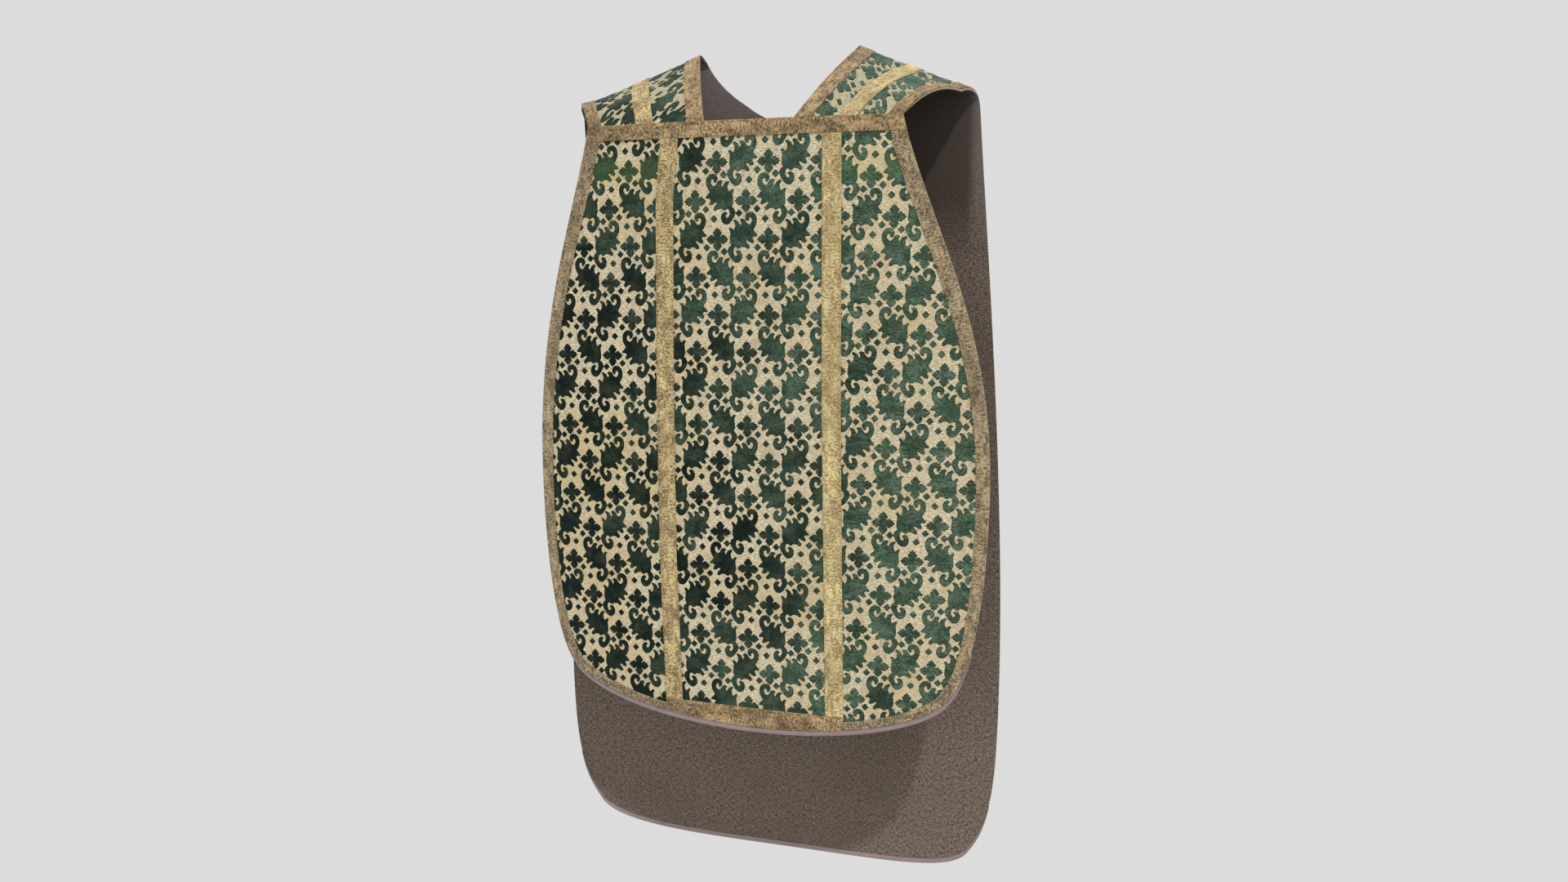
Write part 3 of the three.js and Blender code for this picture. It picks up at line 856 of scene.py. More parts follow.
def shrink(outline, inset):
    """The outline moved inwards by an inset, with sharp tips held back."""
    before = unit(outline - np.roll(outline, 1, axis=0))
    after = unit(np.roll(outline, -1, axis=0) - outline)
    normal_before = stack(-before[:, 1], before[:, 0])
    normal_after = stack(-after[:, 1], after[:, 0])
    middle = normal_before + normal_after
    length = np.maximum(np.linalg.norm(middle, axis=1), 0.75)
    return outline + middle / length[:, None] ** 2 * 2 * inset * np.clip(length / 1.4, 0.5, 1)[:, None]


def pile_repeat():
    """One repeat of the velvet's cut pile: two rows, each a leaf, a flower and three dots. Heights run from
    0 at the ground to 1 at the top of the pile."""
    row = [
        (leaf_outline(), (33.1, 2.7)),
        (flower_outline(), (0, 0)),
        (dot_outline(), (14.4, -10)),
        (dot_outline(), (-9, -15)),
        (dot_outline(), (25.1, -21.7)),
    ]
    second = (29.3, -46.95)
    points, faces, rim_shades = [], [], []
    for mirrored in (False, True):
        for outline, centre in row:
            shape = outline + np.array(centre)
            if mirrored:
                shape = (shape * (-1, 1) + np.array(second))[::-1]
            foot, inset = shrink(shape, -0.35), shrink(shape, 0.55)
            count = len(shape)
            low = len(points)
            top = low + count
            for ring, level in ((foot, -0.2), (inset, 1.0)):
                points += [(x * MM, y * MM, level) for x, y in ring]
            verts, filling = fill_outline(inset, 6.5)
            points += [(x * MM, y * MM, 1.0) for x, y in verts[count:]]
            faces += [tuple(top + i for i in face) for face in filling]
            rim_shades += [[0.0] * 3 for _ in filling]
            faces.append(tuple(low + i for i in reversed(range(count))))
            rim_shades.append([1.0] * count)
            for i in range(count):
                j = (i + 1) % count
                faces.append((low + i, low + j, top + j, top + i))
                rim_shades.append([1.0, 1.0, 0.5, 0.5])
    mesh = bpy.data.meshes.new("pile repeat")
    mesh.from_pydata(points, [], faces)
    # The rim attribute is 1 at the pile's foot, 0.5 at the top of its sides and 0 on its top; the pile's
    # material paints shade with it.
    rim_shade = mesh.attributes.new("rim_shade", "FLOAT", "CORNER")
    rim_shade.data.foreach_set("value", [value for face in rim_shades for value in face])
    return bpy.data.objects.new("pile repeat", mesh)


def new_tree(name, inputs):
    """A Geometry Nodes tree with its named inputs and one Geometry output."""
    tree = bpy.data.node_groups.new(name, "GeometryNodeTree")
    for label, kind in inputs.items():
        tree.interface.new_socket(label, in_out="INPUT", socket_type="NodeSocket" + kind)
    tree.interface.new_socket("Geometry", in_out="OUTPUT", socket_type="NodeSocketGeometry")
    return tree


def add_nodes(tree, names):
    return {key: tree.nodes.new(kind) for key, kind in names.items()}


def pick_socket(sockets, label):
    """The socket in use with a label, or at a place in the list if the label is a number."""
    if label.isdigit():
        return sockets[int(label)]
    return next(socket for socket in sockets if socket.name == label and socket.enabled)


def wire(nodes, runs):
    """Joins nodes; each run reads "node.Output > node.Input"."""
    for run in runs:
        (start, output), (end, entry) = (part.split(".") for part in run.split(" > "))
        tree = nodes[start].id_data
        tree.links.new(pick_socket(nodes[start].outputs, output), pick_socket(nodes[end].inputs, entry))


def pile_tree():
    """Lays the pile's repeat over the flat cloth, trims it to the cloth and lifts it to where it hangs."""
    tree = new_tree("cut pile on its ground", {
        "Geometry": "Geometry",
        "Repeat": "Object",
        "Repeats across": "Int",
        "Repeats up": "Int",
        "Span across": "Float",
        "Span up": "Float",
        "Centre": "Vector",
        "Turn": "Vector",
        "Pile height": "Float",
        "Seed": "Int",
        "Pile": "Material",
    })
    n = add_nodes(tree, {
        "in": "NodeGroupInput",
        "out": "NodeGroupOutput",
        "grid": "GeometryNodeMeshGrid",
        "move": "GeometryNodeTransform",
        "object": "GeometryNodeObjectInfo",
        "put": "GeometryNodeInstanceOnPoints",
        "real": "GeometryNodeRealizeInstances",
        "position": "GeometryNodeInputPosition",
        "split": "ShaderNodeSeparateXYZ",
        "flat": "ShaderNodeCombineXYZ",
        "near": "GeometryNodeProximity",
        "is_on": "FunctionNodeCompare",
        "island": "GeometryNodeInputMeshIsland",
        "sum": "GeometryNodeAccumulateField",
        "is_off": "FunctionNodeCompare",
        "drop": "GeometryNodeDeleteGeometry",
        "random": "FunctionNodeRandomValue",
        "store": "GeometryNodeStoreNamedAttribute",
        "place": "GeometryNodeInputNamedAttribute",
        "facing": "GeometryNodeInputNamedAttribute",
        "at_place": "GeometryNodeSampleNearestSurface",
        "at_facing": "GeometryNodeSampleNearestSurface",
        "height": "ShaderNodeMath",
        "lift": "ShaderNodeVectorMath",
        "sum_place": "ShaderNodeVectorMath",
        "set": "GeometryNodeSetPosition",
        "paint": "GeometryNodeSetMaterial",
    })
    n["near"].target_element = "FACES"
    n["is_on"].data_type = "FLOAT"
    n["is_on"].operation = "LESS_THAN"
    n["is_on"].inputs["B"].default_value = 0.00001
    n["sum"].data_type = "FLOAT"
    n["sum"].domain = "POINT"
    n["is_off"].data_type = "FLOAT"
    n["is_off"].operation = "LESS_THAN"
    n["is_off"].inputs["B"].default_value = 2.5
    n["drop"].domain = "POINT"
    n["random"].data_type = "FLOAT"
    n["store"].data_type = "FLOAT"
    n["store"].domain = "POINT"
    n["store"].inputs["Name"].default_value = "tuft"
    for key in ("place", "facing"):
        n[key].data_type = "FLOAT_VECTOR"
        n[key].inputs["Name"].default_value = key
        n["at_" + key].data_type = "FLOAT_VECTOR"
    n["height"].operation = "MULTIPLY"
    n["lift"].operation = "SCALE"
    n["sum_place"].operation = "ADD"
    for key in ("place", "facing"):
        wire(n, (f"in.Geometry > at_{key}.Mesh", f"{key}.Attribute > at_{key}.Value",
                 f"flat.0 > at_{key}.Sample Position"))
    wire(n, (
        "in.Repeats across > grid.Vertices X", "in.Repeats up > grid.Vertices Y",
        "in.Span across > grid.Size X", "in.Span up > grid.Size Y",
        "in.Repeat > object.Object", "grid.Mesh > put.Points", "object.Geometry > put.Instance",
        "put.Instances > real.Geometry", "real.Geometry > move.Geometry",
        "in.Centre > move.Translation", "in.Turn > move.Rotation",
        "position.0 > split.0", "split.X > flat.X", "split.Y > flat.Y",
        "in.Geometry > near.0", "flat.0 > near.Sample Position", "near.Distance > is_on.A",
        "is_on.0 > sum.Value", "island.Island Index > sum.Group ID", "sum.Total > is_off.A",
        "move.Geometry > drop.Geometry", "is_off.0 > drop.Selection",
        "island.Island Index > random.ID", "in.Seed > random.Seed",
        "drop.Geometry > store.Geometry", "random.Value > store.Value",
        "split.Z > height.0", "in.Pile height > height.1",
        "at_facing.Value > lift.0", "height.0 > lift.Scale",
        "at_place.Value > sum_place.0", "lift.0 > sum_place.1",
        "store.Geometry > set.Geometry", "sum_place.0 > set.Position",
        "set.Geometry > paint.Geometry", "in.Pile > paint.Material", "paint.Geometry > out.Geometry",
    ))
    return tree


def set_inputs(modifier, values):
    """Sets a tree's inputs by their sockets' identifiers."""
    for item in modifier.node_group.interface.items_tree:
        if item.item_type == "SOCKET" and item.in_out == "INPUT" and item.name in values:
            modifier[item.identifier] = values[item.name]


def grown(name, host_mesh, tree, values):
    """The plain mesh that a tree grows on a host, tidied and with its faces turned outwards."""
    host = link(name + " host", host_mesh)
    modifier = host.modifiers.new("grow", "NODES")
    modifier.node_group = tree
    set_inputs(modifier, values)
    bpy.context.view_layer.update()
    graph = bpy.context.evaluated_depsgraph_get()
    mesh = bpy.data.meshes.new_from_object(host.evaluated_get(graph))
    host.modifiers.remove(modifier)
    bpy.data.objects.remove(host)
    mesh.name = name
    work = bmesh.new()
    work.from_mesh(mesh)
    bmesh.ops.dissolve_degenerate(work, dist=0.00002, edges=work.edges)
    loose = [v for v in work.verts if not v.link_faces]
    bmesh.ops.delete(work, geom=loose, context="VERTS")
    bmesh.ops.recalc_face_normals(work, faces=work.faces)
    work.to_mesh(mesh)
    work.free()
    mesh.update()
    return link(name, mesh)


def pile_piece(name, cloth, centre, turn, seed, tree, unit_object, material):
    """The cut pile of one velvet. centre is a flower's place on the flat cloth, in millimetres."""
    flat = np.array(cloth.flat)
    outer = DEPTH["velvet"][0]
    here = cloth.positions(outer)
    facing = unit(cloth.positions(outer - 1) - here)
    mesh = bpy.data.meshes.new(name + " host")
    mesh.from_pydata([(u * MM, v * MM, 0) for u, v in flat], [], cloth.faces)
    for key, values in (("place", here * MM), ("facing", facing)):
        attribute = mesh.attributes.new(key, "FLOAT_VECTOR", "POINT")
        attribute.data.foreach_set("vector", values.astype(np.float32).ravel())
    reach = np.abs(flat - np.array(centre)).max(axis=0)
    across, up = (2 * int(math.ceil(r / step)) + 3 for r, step in zip(reach, REPEAT))
    return grown(name, mesh, tree, {
        "Repeat": unit_object,
        "Repeats across": across,
        "Repeats up": up,
        "Span across": (across - 1) * REPEAT[0] * MM,
        "Span up": (up - 1) * REPEAT[1] * MM,
        "Centre": (centre[0] * MM, centre[1] * MM, 0),
        "Turn": (0, 0, math.radians(turn)),
        "Pile height": PILE_HEIGHT * MM,
        "Seed": seed,
        "Pile": material,
    })


# ---------------------------------------------------------------- stitches

def stitch_mesh():
    """One stitch of thread along X, a slim spindle four sides round."""
    points = [(-0.5, 0, 0)]
    for x in (-0.3, 0.3):
        points += [(x, math.cos(t) * 0.13, math.sin(t) * 0.13) for t in (0, 1.5708, 3.1416, 4.7124)]
    points.append((0.5, 0, 0))
    faces = []
    for i in range(4):
        j = (i + 1) % 4
        faces += [(0, 1 + j, 1 + i), (1 + i, 1 + j, 5 + j, 5 + i), (9, 5 + i, 5 + j)]
    mesh = bpy.data.meshes.new("stitch")
    mesh.from_pydata(points, [], faces)
    return bpy.data.objects.new("stitch", mesh)


def stitch_tree():
    """Sets stitches at an even pitch along the lines of the host, each a little different in length."""
    tree = new_tree("stitches along a line", {
        "Geometry": "Geometry",
        "Stitch": "Object",
        "Pitch": "Float",
        "Length": "Float",
        "Seed": "Int",
        "Thread": "Material",
    })
    n = add_nodes(tree, {
        "in": "NodeGroupInput",
        "out": "NodeGroupOutput",
        "curve": "GeometryNodeMeshToCurve",
        "space": "GeometryNodeResampleCurve",
        "object": "GeometryNodeObjectInfo",
        "tangent": "GeometryNodeInputTangent",
        "turn": "FunctionNodeAlignRotationToVector",
        "random": "FunctionNodeRandomValue",
        "size": "ShaderNodeMath",
        "put": "GeometryNodeInstanceOnPoints",
        "real": "GeometryNodeRealizeInstances",
        "paint": "GeometryNodeSetMaterial",
    })
    n["space"].mode = "LENGTH"
    n["turn"].axis = "X"
    n["random"].data_type = "FLOAT"
    low, high = [s for s in n["random"].inputs if s.enabled and s.name in ("Min", "Max")]
    low.default_value = 0.75
    high.default_value = 1.2
    n["size"].operation = "MULTIPLY"
    wire(n, (
        "in.Geometry > curve.Mesh", "curve.Curve > space.Curve", "in.Pitch > space.Length",
        "in.Stitch > object.Object", "space.Curve > put.Points", "object.Geometry > put.Instance",
        "tangent.0 > turn.Vector", "turn.Rotation > put.Rotation",
        "in.Seed > random.Seed", "random.Value > size.0", "in.Length > size.1", "size.0 > put.Scale",
        "put.Instances > real.Geometry", "real.Geometry > paint.Geometry",
        "in.Thread > paint.Material", "paint.Geometry > out.Geometry",
    ))
    return tree


def stitches_piece(name, lines, seed, tree, unit_object, material):
    points, edges = [], []
    for line in lines:
        start = len(points)
        points += [tuple(point) for point in line]
        edges += [(start + i, start + i + 1) for i in range(len(line) - 1)]
    mesh = bpy.data.meshes.new(name + " host")
    mesh.from_pydata(points, edges, [])
    return grown(name, mesh, tree, {
        "Stitch": unit_object,
        "Pitch": STITCH_PITCH * MM,
        "Length": STITCH_LENGTH * MM,
        "Seed": seed,
        "Thread": material,
    })


# ---------------------------------------------------------------- finishes

def shader_group(name, inputs, outputs):
    tree = bpy.data.node_groups.new(name, "ShaderNodeTree")
    for label, kind, value in inputs:
        socket = tree.interface.new_socket(label, in_out="INPUT", socket_type=kind)
        if value is not None:
            socket.default_value = value
    for label, kind in outputs:
        tree.interface.new_socket(label, in_out="OUTPUT", socket_type=kind)
    return tree, tree.nodes.new("NodeGroupInput").outputs, tree.nodes.new("NodeGroupOutput").inputs


def math_node(tree, operation, a, b=None, c=None, clamp=False):
    """A Math node; a, b and c are sockets or numbers."""
    node = tree.nodes.new("ShaderNodeMath")
    node.operation = operation
    node.use_clamp = clamp
    for i, value in enumerate((a, b, c)):
        if value is None:
            continue
        if isinstance(value, (int, float)):
            node.inputs[i].default_value = value
        else:
            tree.links.new(value, node.inputs[i])
    return node.outputs[0]


def noise_node(tree, vector, scale, detail=2.0, roughness=0.5):
    node = tree.nodes.new("ShaderNodeTexNoise")
    node.inputs["Detail"].default_value = detail
    node.inputs["Roughness"].default_value = roughness
    if isinstance(scale, (int, float)):
        node.inputs["Scale"].default_value = scale
    else:
        tree.links.new(scale, node.inputs["Scale"])
    tree.links.new(vector, node.inputs["Vector"])
    return node.outputs[0]


def scaled(tree, vector, x, y, z=1.0):
    node = tree.nodes.new("ShaderNodeMapping")
    node.inputs["Scale"].default_value = (x, y, z)
    tree.links.new(vector, node.inputs["Vector"])
    return node.outputs[0]


def ramp(tree, value, low, high):
    """0 below low to 1 above high."""
    node = tree.nodes.new("ShaderNodeMapRange")
    node.interpolation_type = "SMOOTHSTEP"
    node.inputs["From Min"].default_value = low
    node.inputs["From Max"].default_value = high
    tree.links.new(value, node.inputs["Value"])
    return node.outputs[0]


def blend_colours(tree, share, first, second, kind="MIX"):
    node = tree.nodes.new("ShaderNodeMix")
    node.data_type = "RGBA"
    node.blend_type = kind
    node.clamp_factor = True
    for socket, value in ((node.inputs[0], share), (node.inputs[6], first), (node.inputs[7], second)):
        if isinstance(value, tuple):
            socket.default_value = (*value, 1)
        elif isinstance(value, (int, float)):
            socket.default_value = value
        else:
            tree.links.new(value, socket)
    return node.outputs[2]


def weave_group():
    """A plain weave: Height of its threads, and Slub for thick threads."""
    tree, given, out = shader_group(
        "plain weave",
        [
            ("Vector", "NodeSocketVector", None),
            ("Warp per metre", "NodeSocketFloat", 900.0),
            ("Weft per metre", "NodeSocketFloat", 700.0),
            ("Unevenness", "NodeSocketFloat", 0.3),
        ],
        [("Height", "NodeSocketFloat"), ("Slub", "NodeSocketFloat")],
    )
    split = tree.nodes.new("ShaderNodeSeparateXYZ")
    tree.links.new(given["Vector"], split.inputs[0])
    wander = noise_node(tree, given["Vector"], 140.0, 2.0)
    wander = math_node(tree, "MULTIPLY", math_node(tree, "SUBTRACT", wander, 0.5), given["Unevenness"])
    waves = []
    for axis, count in (("X", "Warp per metre"), ("Y", "Weft per metre")):
        turns = math_node(tree, "MULTIPLY_ADD", split.outputs[axis], given[count], wander)
        waves.append(math_node(tree, "SINE", math_node(tree, "MULTIPLY", turns, math.pi)))
    product = math_node(tree, "MULTIPLY", *waves)
    tree.links.new(math_node(tree, "ABSOLUTE", product), out["Height"])
    along = noise_node(tree, scaled(tree, given["Vector"], 900, 14), 1.0, 2.0)
    athwart = noise_node(tree, scaled(tree, given["Vector"], 12, 800), 1.0, 2.0)
    tree.links.new(math_node(tree, "ADD", math_node(tree, "MULTIPLY", along, 0.5),
                             math_node(tree, "MULTIPLY", athwart, 0.5)), out["Slub"])
    return tree


def age_group():
    """What time does to cloth: Stain in broad patches, Rub in smaller ones and Fleck thread by thread."""
    tree, given, out = shader_group(
        "age and handling",
        [("Vector", "NodeSocketVector", None), ("Patch scale", "NodeSocketFloat", 7.0)],
        [("Stain", "NodeSocketFloat"), ("Rub", "NodeSocketFloat"), ("Fleck", "NodeSocketFloat")],
    )
    broad = noise_node(tree, given["Vector"], given["Patch scale"], 4.0, 0.6)
    tree.links.new(ramp(tree, broad, 0.42, 0.68), out["Stain"])
    small = noise_node(tree, given["Vector"], 62.0, 4.0, 0.65)
    tree.links.new(ramp(tree, small, 0.45, 0.7), out["Rub"])
    fine = noise_node(tree, given["Vector"], 1500.0, 1.0, 0.5)
    tree.links.new(ramp(tree, fine, 0.3, 0.7), out["Fleck"])
    return tree


def use_group(tree, group, vector, **values):
    node = tree.nodes.new("ShaderNodeGroup")
    node.node_tree = group
    tree.links.new(vector, node.inputs["Vector"])
    for label, value in values.items():
        node.inputs[label.replace("_", " ")].default_value = value
    return node.outputs


def new_finish(name, roughness, sheen=0.0, sheen_tint=(1, 1, 1), metallic=0.0, specular=0.3):
    """A material with its constants set; returns it, its tree, shader, cloth and object coordinates."""
    material = bpy.data.materials.new(name)
    material.use_nodes = True
    tree = material.node_tree
    shader = tree.nodes["Principled BSDF"]
    shader.inputs["Roughness"].default_value = roughness
    shader.inputs["Metallic"].default_value = metallic
    shader.inputs["Specular IOR Level"].default_value = specular
    shader.inputs["Sheen Weight"].default_value = sheen
    shader.inputs["Sheen Roughness"].default_value = 0.45
    shader.inputs["Sheen Tint"].default_value = (*sheen_tint, 1)
    cloth = tree.nodes.new("ShaderNodeUVMap")
    cloth.uv_map = "cloth"
    place_in_room = tree.nodes.new("ShaderNodeTexCoord")
    return material, tree, shader, cloth.outputs[0], place_in_room.outputs["Object"]


def add_bump(tree, shader, height, distance, strength=1.0):
    node = tree.nodes.new("ShaderNodeBump")
    node.inputs["Strength"].default_value = strength
    node.inputs["Distance"].default_value = distance
    tree.links.new(height, node.inputs["Height"])
    tree.links.new(node.outputs[0], shader.inputs["Normal"])


def object_axis(tree, vector, axis):
    split = tree.nodes.new("ShaderNodeSeparateXYZ")
    tree.links.new(vector, split.inputs[0])
    return split.outputs[axis]


def faded_strip(tree, vector):
    """A mask for the strip below the chest band, in the side panels, where light has bleached the velvet."""
    x = math_node(tree, "ABSOLUTE", object_axis(tree, vector, "X"))
    y = object_axis(tree, vector, "Y")
    z = object_axis(tree, vector, "Z")
    off = math_node(tree, "ABSOLUTE", math_node(tree, "ADD", z, 0.131))
    strip = math_node(tree, "SUBTRACT", 1.0, ramp(tree, off, 0.006, 0.022))
    strip = math_node(tree, "MULTIPLY", strip, ramp(tree, x, 0.108, 0.116))
    front = math_node(tree, "SUBTRACT", 1.0, ramp(tree, y, -0.115, -0.105))
    return math_node(tree, "MULTIPLY", strip, front)


def ground_finish(weave, age):
    """The velvet's uncut ground: ribbed straw-coloured silk."""
    material, tree, shader, cloth, room = new_finish("straw ground", 0.72, 0.12, (1, 0.93, 0.75))
    threads = use_group(tree, weave, cloth, Warp_per_metre=620.0, Weft_per_metre=880.0, Unevenness=0.6)
    worn = use_group(tree, age, room, Patch_scale=6.5)
    dashes = noise_node(tree, scaled(tree, cloth, 210, 760), 1.0, 3.0, 0.75)
    colour = blend_colours(tree, ramp(tree, dashes, 0.36, 0.6), (0.44, 0.33, 0.2), (1.0, 0.92, 0.64))
    colour = blend_colours(tree, math_node(tree, "MULTIPLY", worn["Stain"], 0.5), colour, (0.72, 0.55, 0.24))
    colour = blend_colours(tree, math_node(tree, "MULTIPLY", worn["Rub"], 0.3), colour, (0.40, 0.28, 0.18))
    colour = blend_colours(tree, math_node(tree, "MULTIPLY", faded_strip(tree, room), 0.35), colour,
                           (0.7, 0.6, 0.2))
    shade = math_node(tree, "MULTIPLY_ADD", threads["Height"], 0.6, 0.58)
    # Painted shade: the ground darker above the seam, over the straps.
    strap_shade = math_node(tree, "MULTIPLY", ramp(tree, object_axis(tree, room, "Z"), -0.085, -0.06), 0.45)
    colour = blend_colours(tree, strap_shade, colour, (0.25, 0.26, 0.15))
    shaded_colour = blend_colours(tree, 1.0, colour, (0.5, 0.46, 0.42), "MULTIPLY")
    colour = blend_colours(tree, shade, shaded_colour, colour)
    tree.links.new(colour, shader.inputs["Base Color"])
    height = math_node(tree, "ADD", threads["Height"], dashes)
    add_bump(tree, shader, height, 0.0005, 0.9)
    return material


def pile_finish(age):
    """The cut pile: green silk from near black to soft green: painted sheen and light make it lighter towards
    the right and the top, and its tone also varies at random in patches and from motif to motif.
    """
    material, tree, shader, _, room = new_finish("green pile", 0.85, 0.22, (0.6, 0.9, 0.75), specular=0.12)
    worn = use_group(tree, age, room, Patch_scale=9.0)
    x = object_axis(tree, room, "X")
    z = object_axis(tree, room, "Z")
    # nap: painted sheen and light, lighter towards the right and the top, plus random patches and a random
    # tone for each motif.
    nap = math_node(tree, "MULTIPLY_ADD", x, 2.4, 0.36)
    nap = math_node(tree, "ADD", nap, math_node(tree, "MULTIPLY", ramp(tree, z, -0.6, -0.05), 0.4))
    patches = noise_node(tree, room, 11.0, 3.0, 0.6)
    nap = math_node(tree, "ADD", nap, math_node(tree, "MULTIPLY_ADD", patches, 2.0, -1.0))
    tuft = tree.nodes.new("ShaderNodeAttribute")
    tuft.attribute_name = "tuft"
    tilt = math_node(tree, "MULTIPLY_ADD", tuft.outputs["Fac"], 0.4, -0.2)
    nap = math_node(tree, "ADD", nap, tilt, clamp=True)
    colour = blend_colours(tree, nap, (0.0025, 0.0095, 0.007), (0.056, 0.108, 0.072))
    strands = noise_node(tree, scaled(tree, room, 260, 260, 720), 1.0, 3.0, 0.75)
    crushed = noise_node(tree, scaled(tree, room, 45, 45, 70), 1.0, 3.0, 0.65)
    paler = blend_colours(tree, 1.0, colour, (2.5, 2.0, 2.1), "MULTIPLY")
    deeper = blend_colours(tree, 1.0, colour, (0.42, 0.5, 0.46), "MULTIPLY")
    colour = blend_colours(tree, ramp(tree, strands, 0.36, 0.64), deeper, paler)
    deeper = blend_colours(tree, 1.0, colour, (0.5, 0.55, 0.5), "MULTIPLY")
    colour = blend_colours(tree, ramp(tree, crushed, 0.42, 0.62), deeper, colour)
    faded = math_node(tree, "MULTIPLY", faded_strip(tree, room), 0.3)
    colour = blend_colours(tree, faded, colour, (0.075, 0.15, 0.035))
    colour = blend_colours(tree, math_node(tree, "MULTIPLY", worn["Rub"], 0.12), colour, (0.2, 0.2, 0.1))
    # Painted shade: the pile darker round its foot and up its sides.
    rim_shade = tree.nodes.new("ShaderNodeAttribute")
    rim_shade.attribute_name = "rim_shade"
    shaded_colour = blend_colours(tree, 1.0, colour, (0.2, 0.24, 0.2), "MULTIPLY")
    colour = blend_colours(tree, rim_shade.outputs["Fac"], colour, shaded_colour)
    tree.links.new(colour, shader.inputs["Base Color"])
    add_bump(tree, shader, strands, 0.0006, 0.9)
    return material


def galloon_finish(name, weave, age, gold, thread, tarnish, metallic=0.5):
    """Woven gold braid: bright metal over a brown thread, tarnished in patches."""
    material, tree, shader, cloth, room = new_finish(name, 0.45, 0.1, (1, 0.9, 0.7), metallic)
    threads = use_group(tree, weave, cloth, Warp_per_metre=900.0, Weft_per_metre=1300.0, Unevenness=1.0)
    worn = use_group(tree, age, room, Patch_scale=14.0)
    glint = noise_node(tree, scaled(tree, cloth, 260, 430), 1.0, 3.0, 0.8)
    wear = noise_node(tree, scaled(tree, cloth, 60, 38), 1.0, 3.0, 0.7)
    bright = ramp(tree, math_node(tree, "MULTIPLY_ADD", wear, 0.5, glint), 0.63, 0.86)
    colour = blend_colours(tree, bright, thread, gold)
    soiled = math_node(tree, "MULTIPLY", worn["Rub"], tarnish)
    colour = blend_colours(tree, soiled, colour, tuple(0.6 * part for part in thread))
    colour = blend_colours(tree, math_node(tree, "MULTIPLY", worn["Stain"], 0.35), colour, thread)
    tree.links.new(colour, shader.inputs["Base Color"])
    rough = math_node(tree, "MULTIPLY_ADD", bright, -0.2, 0.62)
    tree.links.new(rough, shader.inputs["Roughness"])
    height = math_node(tree, "ADD", math_node(tree, "MULTIPLY", threads["Height"], 0.5), glint)
    add_bump(tree, shader, height, 0.0008, 1.0)
    return material


def lining_finish(weave, age):
    """Unbleached linen gone brown, greyer towards the neck."""
    material, tree, shader, cloth, room = new_finish("brown linen", 0.9, 0.15, (1, 0.95, 0.9), specular=0.2)
    threads = use_group(tree, weave, cloth, Warp_per_metre=620.0, Weft_per_metre=560.0, Unevenness=0.9)
    worn = use_group(tree, age, room, Patch_scale=5.0)
    across = noise_node(tree, scaled(tree, cloth, 900, 210), 1.0, 2.0, 0.6)
    along = noise_node(tree, scaled(tree, cloth, 190, 820), 1.0, 2.0, 0.6)
    crossing = math_node(tree, "ADD", math_node(tree, "ADD", across, along),
                         math_node(tree, "MULTIPLY", threads["Slub"], 0.3))
    pale = ramp(tree, crossing, 0.98, 1.32)
    colour = blend_colours(tree, pale, (0.085, 0.061, 0.045), (0.37, 0.288, 0.225))
    high = ramp(tree, object_axis(tree, room, "Z"), -0.26, -0.05)
    colour = blend_colours(tree, math_node(tree, "MULTIPLY", high, 0.75), colour, (0.22, 0.195, 0.2))
    stained = math_node(tree, "MULTIPLY", worn["Stain"], 0.3)
    colour = blend_colours(tree, stained, colour, (0.13, 0.095, 0.068))
    x = object_axis(tree, room, "X")
    # Painted shade inside the right shoulder, under the strap: the lining near black there.
    shoulder = math_node(tree, "MULTIPLY", ramp(tree, object_axis(tree, room, "Z"), -0.27, -0.15),
                         ramp(tree, x, 0.12, 0.17))
    shoulder = math_node(tree, "MULTIPLY", shoulder,
                         math_node(tree, "SUBTRACT", 1.0, ramp(tree, x, 0.252, 0.268)))
    colour = blend_colours(tree, math_node(tree, "MULTIPLY", shoulder, 0.8), colour, (0.035, 0.024, 0.016))
    fleck = math_node(tree, "MULTIPLY", worn["Fleck"], 0.45)
    colour = blend_colours(tree, fleck, colour, (0.09, 0.07, 0.055))
    tree.links.new(colour, shader.inputs["Base Color"])
    height = math_node(tree, "ADD", threads["Height"], crossing)
    add_bump(tree, shader, height, 0.0006, 0.9)
    return material


def tape_finish(name, weave, age, pale, deep):
    """A plain woven tape or canvas in two shades of one colour."""
    material, tree, shader, cloth, room = new_finish(name, 0.8, 0.2, (1, 0.95, 0.95), specular=0.2)
    threads = use_group(tree, weave, cloth, Warp_per_metre=700.0, Weft_per_metre=1000.0, Unevenness=0.5)
    worn = use_group(tree, age, room, Patch_scale=12.0)
    colour = blend_colours(tree, threads["Slub"], deep, pale)
    colour = blend_colours(tree, math_node(tree, "MULTIPLY", worn["Rub"], 0.4), colour, deep)
    tree.links.new(colour, shader.inputs["Base Color"])
    add_bump(tree, shader, threads["Height"], 0.0004, 0.8)
    return material


# ---------------------------------------------------------------- outlines of the layers

def body_outline(panel):
    """The outline of a panel's layers, inside its hem binding: right side, then left side."""
    lift = BINDING_WIDTH + GAP
    right = edge_points(EDGE[panel]("right", lift), "right", steps=16)
    left = edge_points(EDGE[panel]("left", lift), "left", steps=16)[::-1]
    return right, left


def fold_line(side, shares):
    return np.array([fold_line_point(side, share) for share in shares])


